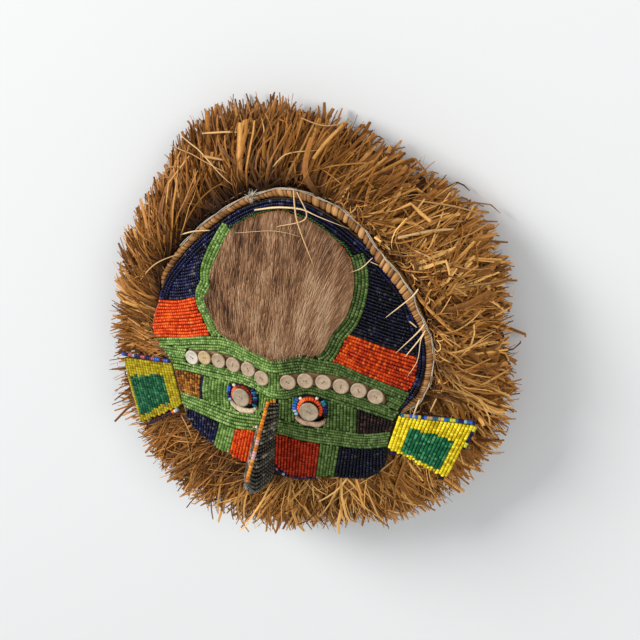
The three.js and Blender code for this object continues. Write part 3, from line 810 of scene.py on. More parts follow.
def folded_canvas():
    finish = Finish("canvas", {"Roughness": 0.9, "Specular IOR Level": 0.15})
    place = finish.node("TexCoord", {}, {}, "Object")
    threads = [
        finish.node("TexWave", {"bands_direction": way},
                    {"Vector": place, "Scale": 330.0, "Distortion": 0.6})
        for way in "XY"
    ]
    soil = finish.noise(160, 4)
    cloth = finish.ramp(soil, [(0.3, dye(92, 66, 44)), (0.55, dye(140, 106, 76)),
                               (0.75, dye(166, 132, 98))])
    # Away from the lane and the edge the canvas is near-black: painted shade between the beads.
    finish.colour(finish.mix(finish.mark("bare"), dye(26, 25, 16), cloth))
    finish.bump(threads[0] + threads[1], 0.5, 0.3)

    edge = spline(PANEL_OUTLINE, np.linspace(0, 1, 210, endpoint=False), closed=True)
    edge = inset(edge, 0.15)
    holes = [ellipse(side * EYE_X, EYE_OPENING_Y, *EYE_OPENING, 36) for side in (-1, 1)]
    across, up = np.arange(-100, 101, CANVAS_GRID), np.arange(-95, 104, CANVAS_GRID)
    grid = np.array([(x, y) for x in across for y in up])
    free = inside(inset(edge, 1.2), grid)
    for hole in holes:
        free &= ~inside(inset(hole, -1.0), grid)
    verts, faces = triangulated([edge, *holes], grid[free])
    height = face_height(verts[:, 0], verts[:, 1])
    upper = np.column_stack([verts, height + CANVAS_TOP])
    lower = np.column_stack([verts, height - PANEL_THICK])
    count = len(verts)
    in_lane = np.abs(verts[:, 1] - lane(verts[:, 0])) < LANE_HALF + 0.3
    in_lane &= (verts[:, 0] > LANE_ENDS[0]) & (verts[:, 0] < LANE_ENDS[1])
    at_edge = (edge_depth(verts) < 1.0) & (verts[:, 0] < 0) & (verts[:, 1] < 14)
    bare = np.where(in_lane | at_edge, 1.0, 0.0)
    build(
        "folded_canvas", np.vstack([upper, lower]), slab(faces, count), finish,
        ["face_panel"], {"bare": np.concatenate([bare, np.ones(count)])}, smooth=False,
    )
    return finish


canvas_finish = folded_canvas()


# Beadwork: glass seed beads threaded in rows and couched down on the canvas side by side.
# Each field of colour has its own direction, and rows of one field end against the next.
# A bead is a short round barrel, and beads of one thread vary a little in size and tint.

BEAD_LENGTH = 1.85  # along the thread
BEAD_SIDES = 6
ROW = 2.4  # between rows
BROW_ROW = 2.15  # between the rows above and below the buttons
# Least space between the beads of two rows: above and below the buttons, and at the borders
BROW_ROOM, BORDER_ROOM = 1.25, 1.65
BEAD_SINK = -1.0  # of a bead's middle below the crown of the beadwork
BARREL_ALONG = np.array([-1.0, -0.72, 0.72, 1.0])
BARREL_AROUND = np.array([0.82, 1.0, 1.0, 0.82])
# Corners of the ears: inner top, outer top, outer bottom and inner bottom
LEFT_EAR = ((-86.6, -29.6), (-133.7, -40.3), (-122.2, -95.6), (-77.8, -62.9))
RIGHT_EAR = ((86.2, -35.2), (136.0, -37.8), (119.4, -84.8), (79.9, -62.3))
EAR_SEAM = (-29, -66, 0.9)  # its top and foot up the face, and its width
# Spaces for the eyes: half their width, the middle and half height by side, and of the lids
EYE_SPACE_HALF = 12.6
EYE_SPACES = {-1: (-40.2, 8.8), 1: (-38.2, 10.0)}
LID_SPACE = (-43.0, 11.2)
BAND_WIDTH = 12.6  # of the band under the eyes
NAVY_ROWS = 34
NAVY_ROW = ROW * 0.94
RIM_ROWS = 4


def barrels(middles, axes, ups, half_lengths, radii):
    """Points and faces of beads, each a closed barrel round its own axis."""
    axes = unit(axes)
    side = unit(np.cross(ups, axes))[:, None, :]
    up = np.cross(axes, side[:, 0])[:, None, :]
    angle = (np.arange(BEAD_SIDES) + 0.5) / BEAD_SIDES * math.tau
    around = side * np.cos(angle)[None, :, None] + up * np.sin(angle)[None, :, None]
    shift = axes[:, None, :] * (half_lengths[:, None] * BARREL_ALONG[None, :])[..., None]
    size = (radii[:, None] * BARREL_AROUND[None, :])[:, :, None, None]
    points = middles[:, None, None, :] + shift[:, :, None, :] + around[:, None] * size
    faces = tubes(len(middles), len(BARREL_ALONG), BEAD_SIDES)
    return points.reshape(-1, 3), [group[:, ::-1] for group in faces]


def glass(name, stops, even=False, between="LINEAR", halves=(1.0, 1.0), gloss=0.16):
    """Bead glass whose tint is picked bead by bead along a band of colours.

    Halves are the factors that its colour is multiplied by on the left and the right of the
    face, so that the two halves differ in brightness.
    """
    finish = Finish(name, {"Coat Weight": gloss, "Coat Roughness": 0.08,
                           "Specular IOR Level": 0.1})
    cloud = finish.noise(500, 2)
    pick = finish.mark("pick") if even else finish.mark("pick") * 0.86 + cloud * 0.14
    colour = finish.ramp(pick, stops, between)
    depth = finish.mark("right") * (halves[1] - halves[0]) + halves[0]
    colour = finish.mix(1.0, colour, depth, "MULTIPLY")
    # Bead ends are darkened: the dark of their holes, with painted shade in the gaps between
    # beads.
    holes = finish.mark("end") * 0.42
    finish.colour(finish.mix(holes, colour, (0.25, 0.25, 0.25, 1), "MULTIPLY"))
    finish.rough(cloud * 0.2 + 0.22)
    return finish


class Threads:
    """Beads of one colour, gathered row by row until they become one piece."""

    def __init__(self, loose=0.03):
        self.rows, self.loose = [], loose

    def add(self, middles, axes, ups, length, radius, picks=None):
        count = len(middles)
        sizes = [np.broadcast_to(size, (count,)) for size in (length, radius)]
        if picks is None:
            picks = rng.uniform(0, 1, count)
        ups = np.broadcast_to(ups, (count, 3))
        self.rows.append((middles, axes, ups, *sizes, picks))

    def piece(self, name, finish, slot):
        joined = (np.concatenate(part) for part in zip(*self.rows))
        middles, axes, ups, length, radius, picks = joined
        points, faces = barrels(middles, axes, ups, length / 2, radius)
        corners = len(BARREL_ALONG) * BEAD_SIDES
        right = ramp(middles[:, 0], -3, 9)
        end = np.tile(np.repeat([1.0, 0.0, 0.0, 1.0], BEAD_SIDES), len(picks))
        picks, right = np.repeat(picks, corners), np.repeat(right, corners)
        marks = {"pick": picks, "right": right, "end": end}
        build(name, points, faces, finish, (), marks)


SQUARE_SIZE = 3.0  # of the squares of the face by which beads are looked up
sewn = {}  # beads already sewn down, by their square
rows_sewn = 0


def square_of(x, y):
    return int(x // SQUARE_SIZE), int(y // SQUARE_SIZE)


def taken(spot, room, row):
    """Whether a bead of another row lies within reach of a spot on the face."""
    column, line = square_of(*spot)
    for i in (column - 1, column, column + 1):
        for j in (line - 1, line, line + 1):
            for x, y, owner in sewn.get((i, j), ()):
                if owner != row and (x - spot[0]) ** 2 + (y - spot[1]) ** 2 < room * room:
                    return True
    return False


def face_normal(spots):
    side = np.sign(spots[:, 0]) * SIDE_FALL
    brow = np.where(spots[:, 1] > 0, BROW_FALL, 0.0)
    return unit(np.stack([side, brow, np.ones(len(spots))], 1))


def on_face(spots, lift):
    """Spots on the face as places above it."""
    return np.column_stack([spots, face_height(spots[:, 0], spots[:, 1]) + lift])


bead_edge = inset(outline, 0.95)


def clear_of_ears(spots):
    """True for spots that the sewn-on edge of an ear leaves free."""
    x, y = spots[:, 0], spots[:, 1]
    top, foot, width = EAR_SEAM
    beside = (y < top) & (y > foot)
    free = np.ones(len(spots), bool)
    for side, corners in ((-1, LEFT_EAR), (1, RIGHT_EAR)):
        (top_x, top_y), (low_x, low_y) = corners[0], corners[3]
        seam = lerp(top_x, low_x, (top_y - y) / (top_y - low_y))
        free &= ~(beside & (side * x > side * seam - width))
    return free


def couch(threads, line, allowed=None, pitch=ROW, length=BEAD_LENGTH, room=1.6):
    """Sews one row of beads along a line on the face, as far as it is allowed and free."""
    global rows_sewn
    rows_sewn += 1
    line = np.asarray(line, float)
    gone = travelled(line)
    if gone[-1] < length:
        return
    steps = np.arange(rng.uniform(0.3, 1.0) * length, gone[-1], length)
    spots = along_line(line, gone, steps + rng.normal(0, 0.04, len(steps)))
    sway = np.cumsum(rng.normal(0, 0.035, len(spots)))
    spots[:, 1] += sway - sway.mean()
    keep = inside(bead_edge, spots) & clear_of_ears(spots)
    if allowed is not None:
        keep &= allowed(spots)
    kept = [i for i in np.flatnonzero(keep) if not taken(spots[i], room, rows_sewn)]
    if not kept:
        return
    for x, y in spots[kept]:
        sewn.setdefault(square_of(x, y), []).append((x, y, rows_sewn))
    count = len(kept)
    ahead = along_line(line, gone, steps[kept] + 0.5)
    behind = along_line(line, gone, steps[kept] - 0.5)
    axes = unit(on_face(ahead, 0) - on_face(behind, 0))
    axes = axes + rng.normal(0, threads.loose, (count, 3))
    normal = face_normal(spots[kept])
    middles = on_face(spots[kept], BEAD_SINK) + normal * rng.normal(0, 0.06, (count, 1))
    lengths = length * rng.uniform(0.93, 1.03, count)
    radii = min(1.15, 0.475 * pitch) * rng.uniform(0.94, 1.05, count)
    threads.add(middles, axes, normal, lengths, radii)


def columns(threads, top, bottom, left, right, count, allowed=None, lean=0.0):
    """Upright rows from one line to another; left and right are (top x, bottom x)."""
    pitch = abs(right[0] - left[0] + right[1] - left[1]) / 2 / count
    for k in range(count):
        share = (k + 0.5) / count
        high_x, low_x = lerp(left[0], right[0], share), lerp(left[1], right[1], share)
        s = np.linspace(0, 1, 12)[:, None]
        line = lerp(np.array([[high_x, top(high_x)]]), np.array([[low_x, bottom(low_x)]]), s)
        line[:, 0] += lean * np.sin(math.pi * s[:, 0])
        couch(threads, line, allowed, pitch)


def chin(_):
    """The height that rows run down to at the chin, just past the panel's edge."""
    return -98.0


brow_top = graph([
    (-104, -14), (-96, -11.9), (-75.4, -6.6), (-60, -2.3), (-44, 1.1), (-31, 0.7),
    (-19.8, -1.8), (-5, -4.8), (1.2, -3.8), (17, 0.5), (31, -1), (42, -1.4), (61.5, -7.7),
    (77.4, -12.3), (93, -16.6), (104, -20),
])
brow_foot = graph([
    (-98, -35.5), (-86.6, -34.7), (-70, -32.7), (-57.6, -32.6), (-36, -31.6), (-20, -32),
    (-6.3, -35), (6.3, -34.7), (14, -31.4), (22, -28.4), (30, -28.6), (37, -30.4),
    (57, -34.2), (83.2, -40.2), (90, -42),
])
cheek_top = graph([
    (-84, -51.2), (-58.7, -52.1), (-35, -54), (-23, -53.2), (-11.5, -51.6), (2.6, -51.4),
    (15, -52), (30, -53), (45.5, -53.3), (63.6, -53), (81, -48.4), (84, -47.5),
])
cheek_foot = graph([
    (-82, -62.6), (-76.4, -63.4), (-59, -65.6), (-44.3, -67.8), (-31.4, -68.6),
    (-15.5, -65.6), (2.1, -63.3), (17, -65.5), (32, -66), (47.8, -65.5), (61, -65.2),
    (73, -62.6), (80, -60.4), (84, -59),
])


def clear_of_eyes(spots):
    """True for spots that the eye discs and the lids below them leave free."""
    free = np.ones(len(spots), bool)
    for side, disc in EYE_SPACES.items():
        across = (spots[:, 0] - side * EYE_X) / EYE_SPACE_HALF
        for middle, half in (disc, LID_SPACE):
            free &= across**2 + ((spots[:, 1] - middle) / half) ** 2 > 1
    return free


def on_bridge(spots):
    return (np.abs(spots[:, 0] - BRIDGE_X) < 4.6) & (spots[:, 1] < -15.8) & (spots[:, 1] > -28)


def in_brow(spots):
    right_end = 92.6 + (spots[:, 1] + 16.5) * 0.4
    return clear_of_eyes(spots) & (spots[:, 0] < right_end) & ~on_bridge(spots)


def beside_lane(spots):
    return in_brow(spots) & ((spots[:, 0] < -73.5) | (spots[:, 0] > 77))


green, navy, bright_orange, dark_orange = Threads(), Threads(0.14), Threads(), Threads()
mottled_orange, amber, maroon, border_navy = Threads(), Threads(), Threads(), Threads()

# The bridge, the bundles above and below the buttons, and the rows beyond their lane
full_width = np.arange(-103, 104, 1.0)
lane_line = lane(full_width)
for x in (-5.0, -2.6, -0.2, 2.2):
    couch(green, [(x, -15.2), (x, -28.6)])
above = brow_top(full_width) - lane_line - LANE_HALF
below = lane_line - LANE_HALF - brow_foot(full_width)
for space, edge, way in ((above, brow_top(full_width), -1), (below, brow_foot(full_width), 1)):
    pitch = space / np.maximum(1, np.round(space / BROW_ROW))
    pitch = np.convolve(np.pad(pitch, 4, "edge"), np.full(9, 1 / 9), "valid")
    for k in range(8):
        line = np.column_stack([full_width, edge + way * pitch * (k + 0.5)])
        couch(green, line[(k + 0.66) * pitch < space], in_brow, 2.2, room=BROW_ROOM)
for k in range(5):
    level = lane_line + LANE_HALF * 2 * (0.5 - (k + 0.5) / 5)
    couch(green, np.column_stack([full_width, level]), beside_lane, BROW_ROW,
          room=BROW_ROOM)
for x in (-5.6, -3.2, -0.8):
    couch(green, [(x, -35.4), (x, -41)])

# The band under the eyes
left_half, right_half = np.arange(-84, -9, 1.0), np.arange(0.6, 85, 1.0)
for half, rows in ((left_half, 5), (right_half, 6)):
    for k in range(rows):
        level = lerp(cheek_top(half), cheek_foot(half), (k + 0.5) / rows)
        couch(green, np.column_stack([half, level]), clear_of_eyes, BAND_WIDTH / rows)

# Beside the eyes
columns(amber, brow_foot, cheek_top, (-88, -82.5), (-61, -62.5), 11, lean=-0.5)
columns(border_navy, brow_foot, cheek_top, (-60.8, -62.4), (-58.6, -60.2), 1)
columns(green, brow_foot, cheek_top, (-58.4, -60), (-36, -37), 9, clear_of_eyes, lean=-1.0)
columns(green, brow_foot, cheek_top, (-36, -37), (-13.5, -13.5), 9, clear_of_eyes)
columns(green, brow_foot, cheek_top, (-13.4, -13.4), (-6.2, -9.4), 3)
columns(green, brow_foot, cheek_top, (2.4, 1.4), (14.2, 14.2), 5)
columns(green, brow_foot, cheek_top, (14.2, 14.2), (36.5, 36.5), 10, clear_of_eyes)
columns(green, brow_foot, cheek_top, (36.5, 36.5), (57.6, 57.8), 9)
columns(maroon, brow_foot, cheek_top, (57.8, 57.9), (86, 83.5), 12)


# Squares down to the chin
def within_chin(spots):
    return spots[:, 1] > -88.2 - 0.9 * (spots[:, 0] - 1.6)


columns(navy, cheek_foot, chin, (-80, -76.5), (-46.2, -54), 14)
columns(green, cheek_foot, chin, (-46, -53.8), (-32.4, -40), 6)
columns(bright_orange, cheek_foot, chin, (-32.2, -39.8), (-13.6, -19), 8)
columns(dark_orange, cheek_foot, chin, (0.4, -0.4), (32.4, 29.6), 14, within_chin)
columns(green, cheek_foot, chin, (32.5, 29.8), (46.4, 42.4), 6)
columns(navy, cheek_foot, chin, (46.6, 42.6), (83, 86), 17)

# The rim of green along the hide
HIDE_OUTLINE = [
    (-10, -4), (1, -4.5), (17, 1.5), (31, 4), (38.2, 19), (46, 31), (49.6, 46), (49.8, 58),
    (46, 71), (38.5, 79.5), (25, 89.5), (-2, 97), (-22, 90.5), (-39, 79), (-46.6, 65),
    (-54, 45), (-53.5, 37), (-58.5, 26), (-52.5, 16), (-43, 4.5), (-28, 1),
]
hide_edge = spline(HIDE_OUTLINE, np.linspace(0, 1, 360, endpoint=False), closed=True)


def beside_hide(side, top):
    """Points of the hide's edge down one side, from the top."""
    line = hide_edge[np.sign(hide_edge[:, 0]) == side]
    line = line[(line[:, 1] > -3) & (line[:, 1] < top) & (np.abs(line[:, 0]) > 27)]
    return line[np.argsort(-line[:, 1])]


def above_brow(spots):
    return spots[:, 1] > brow_top(spots[:, 0]) + 0.6


for side, top in ((-1, 78), (1, 71.5)):
    line = beside_hide(side, top)
    along = unit(np.gradient(line, axis=0))
    away = left_of(along)
    away = np.where(away[:, :1] * side < 0, -away, away)
    narrow = np.ones(len(line))
    if side < 0:
        narrow = np.interp(line[:, 1], [0, 12, 24, 34, 60, 80], [1, 0.9, 0.82, 1, 1, 0.82])
    for k in range(RIM_ROWS):
        row = line + away * (ROW * (k + 0.35) * narrow)[:, None]
        couch(green, row, above_brow, room=BORDER_ROOM)

# Orange fields above the ends of the brow band
left_orange_top = graph([(-104, 14), (-95.4, 17.2), (-80.3, 20), (-68, 24.6), (-60, 29)])
right_orange_top = graph([(42, 21), (55.2, 18.1), (75.6, 13.4), (95, 10.2), (104, 9)])


def inside_strip(spots):
    return (edge_depth(spots) > 5.0) & (spots[:, 0] > 38)


left_run = np.arange(-104, -50, 1.0)
right_run = np.arange(38, 104, 1.0)
for k in range(12):
    level = lerp(left_orange_top(left_run), brow_top(left_run), (k + 0.5) / 12)
    level = level + 0.35 * np.sin(left_run * 0.16 + k * 0.35)
    couch(bright_orange, np.column_stack([left_run, level]))
for k in range(10):
    level = lerp(right_orange_top(right_run), brow_top(right_run), (k + 0.5) / 10)
    couch(mottled_orange, np.column_stack([right_run, level]), inside_strip)

# Navy: three rows along the edge over the top and down the right, then the fields inside them
over = spline(PANEL_OUTLINE, np.linspace(7 / 29, 21.2 / 29, 500), closed=True)
over_in = left_of(unit(np.gradient(over, axis=0)))
for k in range(3):
    couch(border_navy, over + over_in * (1.35 + 2.25 * k), room=BORDER_ROOM)


def inside_border(spots):
    return edge_depth(spots) > 7.7


left_wide, right_wide = np.arange(-104, -30, 1.0), np.arange(30, 104, 1.0)
for wide, foot, tilt in (
    (left_wide, left_orange_top(np.minimum(left_wide, -60)), np.maximum(0, left_wide + 60) * 0.25),
    (right_wide, right_orange_top(np.maximum(right_wide, 42)), 0.0),
):
    for k in range(NAVY_ROWS):
        level = foot + NAVY_ROW * (k + 0.5) + tilt
        couch(navy, np.column_stack([wide, level]), inside_border, room=BORDER_ROOM)

green.piece("beads_green", glass("green_beads", [
    (0.0, dye(58, 84, 34)), (0.35, dye(92, 122, 54)), (0.7, dye(116, 144, 72)),
    (1.0, dye(148, 174, 106)),
], halves=(1.05, 0.45)), "beadwork")
navy.piece("beads_navy", glass("navy_beads", [
    (0.0, dye(7, 7, 12)), (0.45, dye(13, 13, 32)), (0.75, dye(26, 28, 72)),
    (0.88, dye(56, 56, 66)), (1.0, dye(122, 120, 108)),
], halves=(1.1, 0.32)), "beadwork")
border_navy.piece("beads_navy_border", glass("border_navy_beads", [
    (0.0, dye(6, 6, 16)), (0.5, dye(11, 11, 34)), (0.85, dye(24, 27, 76)),
    (1.0, dye(96, 94, 112)),
], halves=(1.0, 0.7)), "beadwork")
bright_orange.piece("beads_orange_left", glass("orange_beads", [
    (0.0, dye(176, 40, 6)), (0.4, dye(226, 68, 10)), (0.8, dye(240, 88, 18)),
    (1.0, dye(250, 130, 30)),
], halves=(0.82, 1.0)), "orange_beads")
dark_orange.piece("beads_orange_chin", glass("red_orange_beads", [
    (0.0, dye(120, 22, 5)), (0.5, dye(172, 40, 10)), (1.0, dye(206, 66, 18)),
], halves=(1.0, 0.66)), "orange_beads")
mottled_orange.piece("beads_orange_brow", glass("mottled_orange_beads", [
    (0.0, dye(116, 24, 6)), (0.4, dye(172, 44, 8)), (0.75, dye(206, 66, 12)),
    (1.0, dye(226, 104, 24)),
], halves=(1.1, 0.85)), "orange_beads")
amber.piece("beads_amber", glass("amber_beads", [
    (0.0, dye(66, 34, 16)), (0.35, dye(124, 72, 22)), (0.7, dye(168, 108, 34)),
    (1.0, dye(196, 146, 76)),
]), "beadwork")
maroon.piece("beads_maroon", glass("maroon_beads", [
    (0.0, dye(22, 13, 14)), (0.6, dye(42, 26, 26)), (1.0, dye(84, 58, 50)),
], halves=(1.0, 0.6)), "beadwork")


# Trim beads: odd beads of many colours that finish the edges and mark small details.
# They are strung in short lengths along the chin, the ears and the sides of the eyes.

TRIM = {
    "black": dye(10, 10, 12), "navy": dye(18, 20, 74), "blue": dye(44, 84, 176),
    "teal": dye(16, 92, 118), "pale_blue": dye(128, 160, 178), "pink": dye(172, 74, 82),
    "maroon": dye(72, 16, 24), "tan": dye(166, 134, 84), "lime": dye(186, 184, 52),
    "white": dye(222, 212, 190), "orange": dye(222, 100, 18), "red": dye(168, 36, 20),
}
trim_stops = [(i / len(TRIM), colour) for i, colour in enumerate(TRIM.values())]
trim_glass = glass("trim_beads", trim_stops, True, "CONSTANT")


def tint(names):
    """Picks of trim colours, from their names in a row."""
    order = list(TRIM)
    return np.array([(order.index(name) + 0.5) / len(TRIM) for name in names.split()])


def string(threads, places, names, length, radius):
    """A string of trim beads, one at each place, threaded along the places."""
    places = np.asarray(places, float)
    axes = np.gradient(places, axis=0) + rng.normal(0, 0.05, places.shape)
    threads.add(places, axes, (0, 0, 1), length, radius, tint(names))


chin_trim = Threads()
chin_edge = spline([(0.6, -91), (4, -94.2), (10.5, -96.4), (20, -96.4), (29, -94.8)],
                   np.linspace(0, 1, 15))
string(chin_trim, on_face(chin_edge, -0.7),
       "navy pink navy black navy pale_blue navy black navy navy black navy navy black navy",
       1.9, 1.05)
string(chin_trim, on_face(np.array([(-16.6, -62.4), (-14.6, -61.9)]), -0.4), "tan white", 1.9, 1.1)
chin_trim.piece("chin_trim", trim_glass, "beadwork")


# Hide: a patch of short-haired skin stitched over the forehead with its hair lying downwards.
# The skin is a low crowned pad, and single hairs are laid on it in locks, brown on the left
# and paler to the right. Tiny red and green beads hem its top edge.

HIDE_THICK = 4.2
HIDE_MIDDLE = np.array([0.0, 42.0])
HAIR_PLACES = 4
HAIR_SIDES = 3

hide_reach = reach_to(hide_edge - HIDE_MIDDLE)


def hide_share(spots):
    """How far out each spot lies on the hide: 0 in the middle and 1 at its edge."""
    away = spots - HIDE_MIDDLE
    return np.linalg.norm(away, axis=1) / hide_reach(away)


def hide_lift(share):
    low = [0.9, 0.86, 0.66, 0.36, 0.1]
    return HIDE_THICK * np.interp(share, [0, 0.6, 0.84, 0.94, 1.0], low)


def hair_finish(name, shift):
    finish = Finish(name, {"Roughness": 0.5, "Specular IOR Level": 0.25})
    patches = finish.noise(38, 3, (1, 0.4, 1), 0.55)
    fine = finish.noise(420, 2, (1, 0.12, 1))
    pale = finish.place("X") * 1.7 - finish.place("Y")
    tone = finish.mark("pick") * 0.34 + patches * 0.75 + fine * 0.25 + pale + shift
    finish.colour(finish.ramp(tone, [
        (0.32, dye(44, 28, 18)), (0.47, dye(118, 80, 52)), (0.62, dye(166, 122, 86)),
        (0.88, dye(204, 170, 134)),
    ]))
    return finish


def hide_patch():
    spokes = 120
    way = pointing(np.arange(spokes) / spokes * math.tau)
    rows = []
    for share in (0.02, 0.3, 0.55, 0.75, 0.88, 0.95, 1.0):
        spot = HIDE_MIDDLE + (hide_reach(way) * share)[:, None] * way
        rows.append(on_face(spot, 0.3 + hide_lift(np.full(spokes, share))))
    rows.append(on_face(rows[-1][:, :2], 0.2))
    rows.append(on_face(rows[0][:, :2], 0.2))
    count = len(rows)
    faces = [skin(count, spokes, False)[:, ::-1], end_faces(count, spokes)]
    build(
        "hide_patch", np.vstack(rows), faces, hair_finish("hide_skin", -0.02),
        ["fur_patch"], {"pick": np.full(count * spokes, 0.4)},
    )


def hide_hair(name, count):
    inner = rng.uniform((-62, -8), (56, 99), (count * 2, 2))
    inner = inner[hide_share(inner) < 0.985][:count]
    way = pointing(rng.uniform(0.05, math.pi - 0.05, count // 8))
    top = HIDE_MIDDLE + way * (hide_reach(way) * rng.uniform(0.97, 1.01, len(way)))[:, None]
    spots = np.vstack([inner, top])
    n = len(spots)
    x, y = spots.T
    lock = np.sin(x * 0.4 + 1.3 * np.sin(y * 0.07)) + 0.6 * np.sin(y * 0.17 + x * 0.15)
    lean = -0.012 * np.maximum(0, x - 2) + 0.05 * lock + rng.normal(0, 0.055, n)
    lean = lean + 0.006 * np.maximum(0, -20 - x) * (y < 40)
    heading = unit(np.stack([lean, -np.ones(n)], 1))
    length = rng.uniform(6, 12, n)
    grown = np.linspace(0, 1, HAIR_PLACES)[None, :]
    side = left_of(heading)
    for _ in range(3):
        tip = spots + heading * length[:, None]
        length = np.where(hide_share(tip) > 1.01, length * 0.72, length)
    flat = spots[:, None, :] + heading[:, None, :] * (length[:, None] * grown)[..., None]
    curl = rng.normal(0, 0.5, n)[:, None] * grown**2
    flat = flat + side[:, None, :] * curl[..., None]
    share = hide_share(flat.reshape(-1, 2)).reshape(n, HAIR_PLACES)
    lift = rng.uniform(0.2, 1.0, n)[:, None] * np.sin(math.pi * (0.15 + 0.7 * grown)) + 0.3
    z = face_height(flat[..., 0], flat[..., 1]) + hide_lift(np.minimum(share, 1.0)) + lift
    paths = np.concatenate([flat, z[..., None]], 2)
    widths = rng.uniform(0.16, 0.32, n)[:, None] * (0.8, 1.0, 0.75, 0.12)
    points, faces = strips(paths, widths, 0.8, 0.0, HAIR_SIDES)
    pick = np.clip(0.5 + 0.15 * lock + rng.normal(0, 0.28, n), 0, 1)
    marks = {"pick": np.repeat(pick, HAIR_PLACES * HAIR_SIDES)}
    build(name, points, faces, hair_finish("hide_hair", 0.0), (), marks)


def hide_hem():
    """Zigzag of tiny beads along the top edge of the hide."""
    hem = Threads()
    line = spline([(-40.6, 79.3), (-33.1, 84), (-24.3, 90.3), (-15.4, 93.9), (-2.3, 98.1),
                   (10.2, 95.3), (15.6, 94.3), (23.6, 90.6), (31.6, 85.2), (41, 78.6),
                   (46.7, 71.6)], np.linspace(0, 1, 300))
    gone = travelled(line)
    steps = np.arange(0.4, gone[-1], 0.85)
    count = len(steps)
    middle = along_line(line, gone, steps)
    along = unit(np.gradient(middle, axis=0))
    out = left_of(along)
    flip = np.where(np.arange(count) % 2 == 0, 1.0, -1.0)
    spots = middle + out * (0.75 * flip + rng.normal(0, 0.2, count))[:, None]
    axes = np.column_stack([along + out * (flip * 0.8)[:, None], np.zeros(count)])
    red = (rng.uniform(0, 1, count) < 0.5) & (flip < 0)
    picks = np.where(red, rng.uniform(0.6, 1, count), rng.uniform(0, 0.4, count))
    hem.add(on_face(spots, 0.3), axes, (0, 0, 1), 1.5, 0.55, picks)
    hem.piece("hide_hem", glass("hem_beads", [
        (0.0, dye(30, 58, 22)), (0.45, dye(70, 100, 44)), (0.5, dye(150, 44, 20)),
        (1.0, dye(200, 76, 34)),
    ]), "hide")


hide_patch()
hide_hair("hide_hair", 6200)
hide_hem()


# Nose: a stiff cloth wedge sewn over the fold, low between the eyes and high at its tip.
# Rows of near-black beads run across its flanks and round its drooping end, and one line of
# amber beads follows the ridge, with a few lilac ones half way down.

NOSE_TOP_Y = -37.6
RIDGE_RUN = 52  # down the nose over which its ridge rises
NOSE_BEAD = 2.3
NOSE_PITCH = 2.4
# Feet of the flanks: distance down from the brow line, then across from the fold
FOOT_DOWN = (38, 50, 58, 65, 75, 83, 90, 98)
LEFT_FOOT = (-5.4, -8.4, -11.2, -13.8, -16.4, -18.2, -19.6, -20.5)
RIGHT_FOOT = (3.6, 2.4, 1.4, 0.6, 0.2, 0.1, 0.0, -0.4)
# How much lower than its foot the end droops, by the share of the way up the flanks
FOOT_END = -96.0
END_SHARES = (0, 0.2, 0.4, 0.6, 0.75, 0.9, 1.0)
DROOPS = (0.6, 2.8, 4.4, 5.2, 4.8, 1.0, -5.5)


def nose_place(down, up, side, sink=0.0):
    """A place on a flank: down from 0 at the top to 1, up from 0 at the foot to 1."""
    down, up = np.broadcast_arrays(np.asarray(down, float), np.asarray(up, float))
    y = lerp(NOSE_TOP_Y, FOOT_END, down) - np.interp(up, END_SHARES, DROOPS) * down**2.5
    level = lerp(FOOT_DOWN[0], FOOT_DOWN[-1], down)
    shape = np.minimum((level - FOOT_DOWN[0]) / RIDGE_RUN, 1.02)
    low_start = 1 - ramp(down, 0.0, 0.3)
    ridge_x = -2.9 - 5.4 * shape - 1.4 * low_start
    ridge_z = FOLD_HEIGHT + 9 + 18.0 * shape - 6.6 * low_start
    if side > 0:
        foot_x = np.interp(level, FOOT_DOWN, RIGHT_FOOT)
        bulge = 0.7 * np.sin(math.pi * up)
    else:
        foot_x = np.interp(level, FOOT_DOWN, LEFT_FOOT)
        bulge = -2.2 * np.maximum(0, shape) * np.sin(math.pi * up)
    foot_z = face_height(foot_x, y) + 0.3
    x = lerp(foot_x, ridge_x, up) + bulge - side * sink
    z = lerp(foot_z, ridge_z, up) - sink * up
    return np.stack([x, y, z], -1)


def nose_core():
    finish = Finish("nose_cloth", {"Roughness": 0.95, "Specular IOR Level": 0.1})
    thread = finish.noise(900, 2)
    finish.colour(finish.ramp(thread, [(0.3, dye(12, 11, 10)), (0.75, dye(40, 34, 27))]))
    finish.bump(thread, 0.6, 0.4)
    ups = np.linspace(0, 1, 9)
    rows = []
    for down in np.linspace(0, 1, 14):
        right = nose_place(down, ups, 1, 0.9)
        left = nose_place(down, ups[::-1], -1, 0.9)[1:]
        rows.append(np.vstack([right, left]))
    ring = np.stack(rows)
    count = ring.shape[1]
    half = len(ups)
    faces = [skin(len(rows), count, False)]
    for first, back in ((0, False), ((len(rows) - 1) * count, True)):
        cap = np.array([
            (first + k, first + k + 1, first + count - 2 - k, first + count - 1 - k)
            for k in range(half - 2)
        ])
        tip = np.array([(first + half - 2, first + half - 1, first + half)])
        faces += [cap[:, ::-1] if back else cap, tip[:, ::-1] if back else tip]
    build("nose_core", ring.reshape(-1, 3), faces, finish, ["nose"], smooth=False)


def bead_line(threads, line, ups, tone, margin=1.0):
    """Nose beads of about one tone along a line in space."""
    gone = travelled(line)
    steps = np.arange(margin, gone[-1] - margin * 0.8, NOSE_PITCH)
    count = len(steps)
    if not count:
        return
    spots = along_line(line, gone, steps)
    axes = along_line(line, gone, steps + 0.6) - along_line(line, gone, steps - 0.6)
    axes = unit(axes) + rng.normal(0, 0.05, (count, 3))
    spots = spots + rng.normal(0, 0.06, spots.shape)
    picks = np.clip(tone + rng.normal(0, 0.16, count), 0, 1)
    threads.add(spots, axes, ups, NOSE_BEAD, rng.uniform(1.1, 1.24, count), picks)


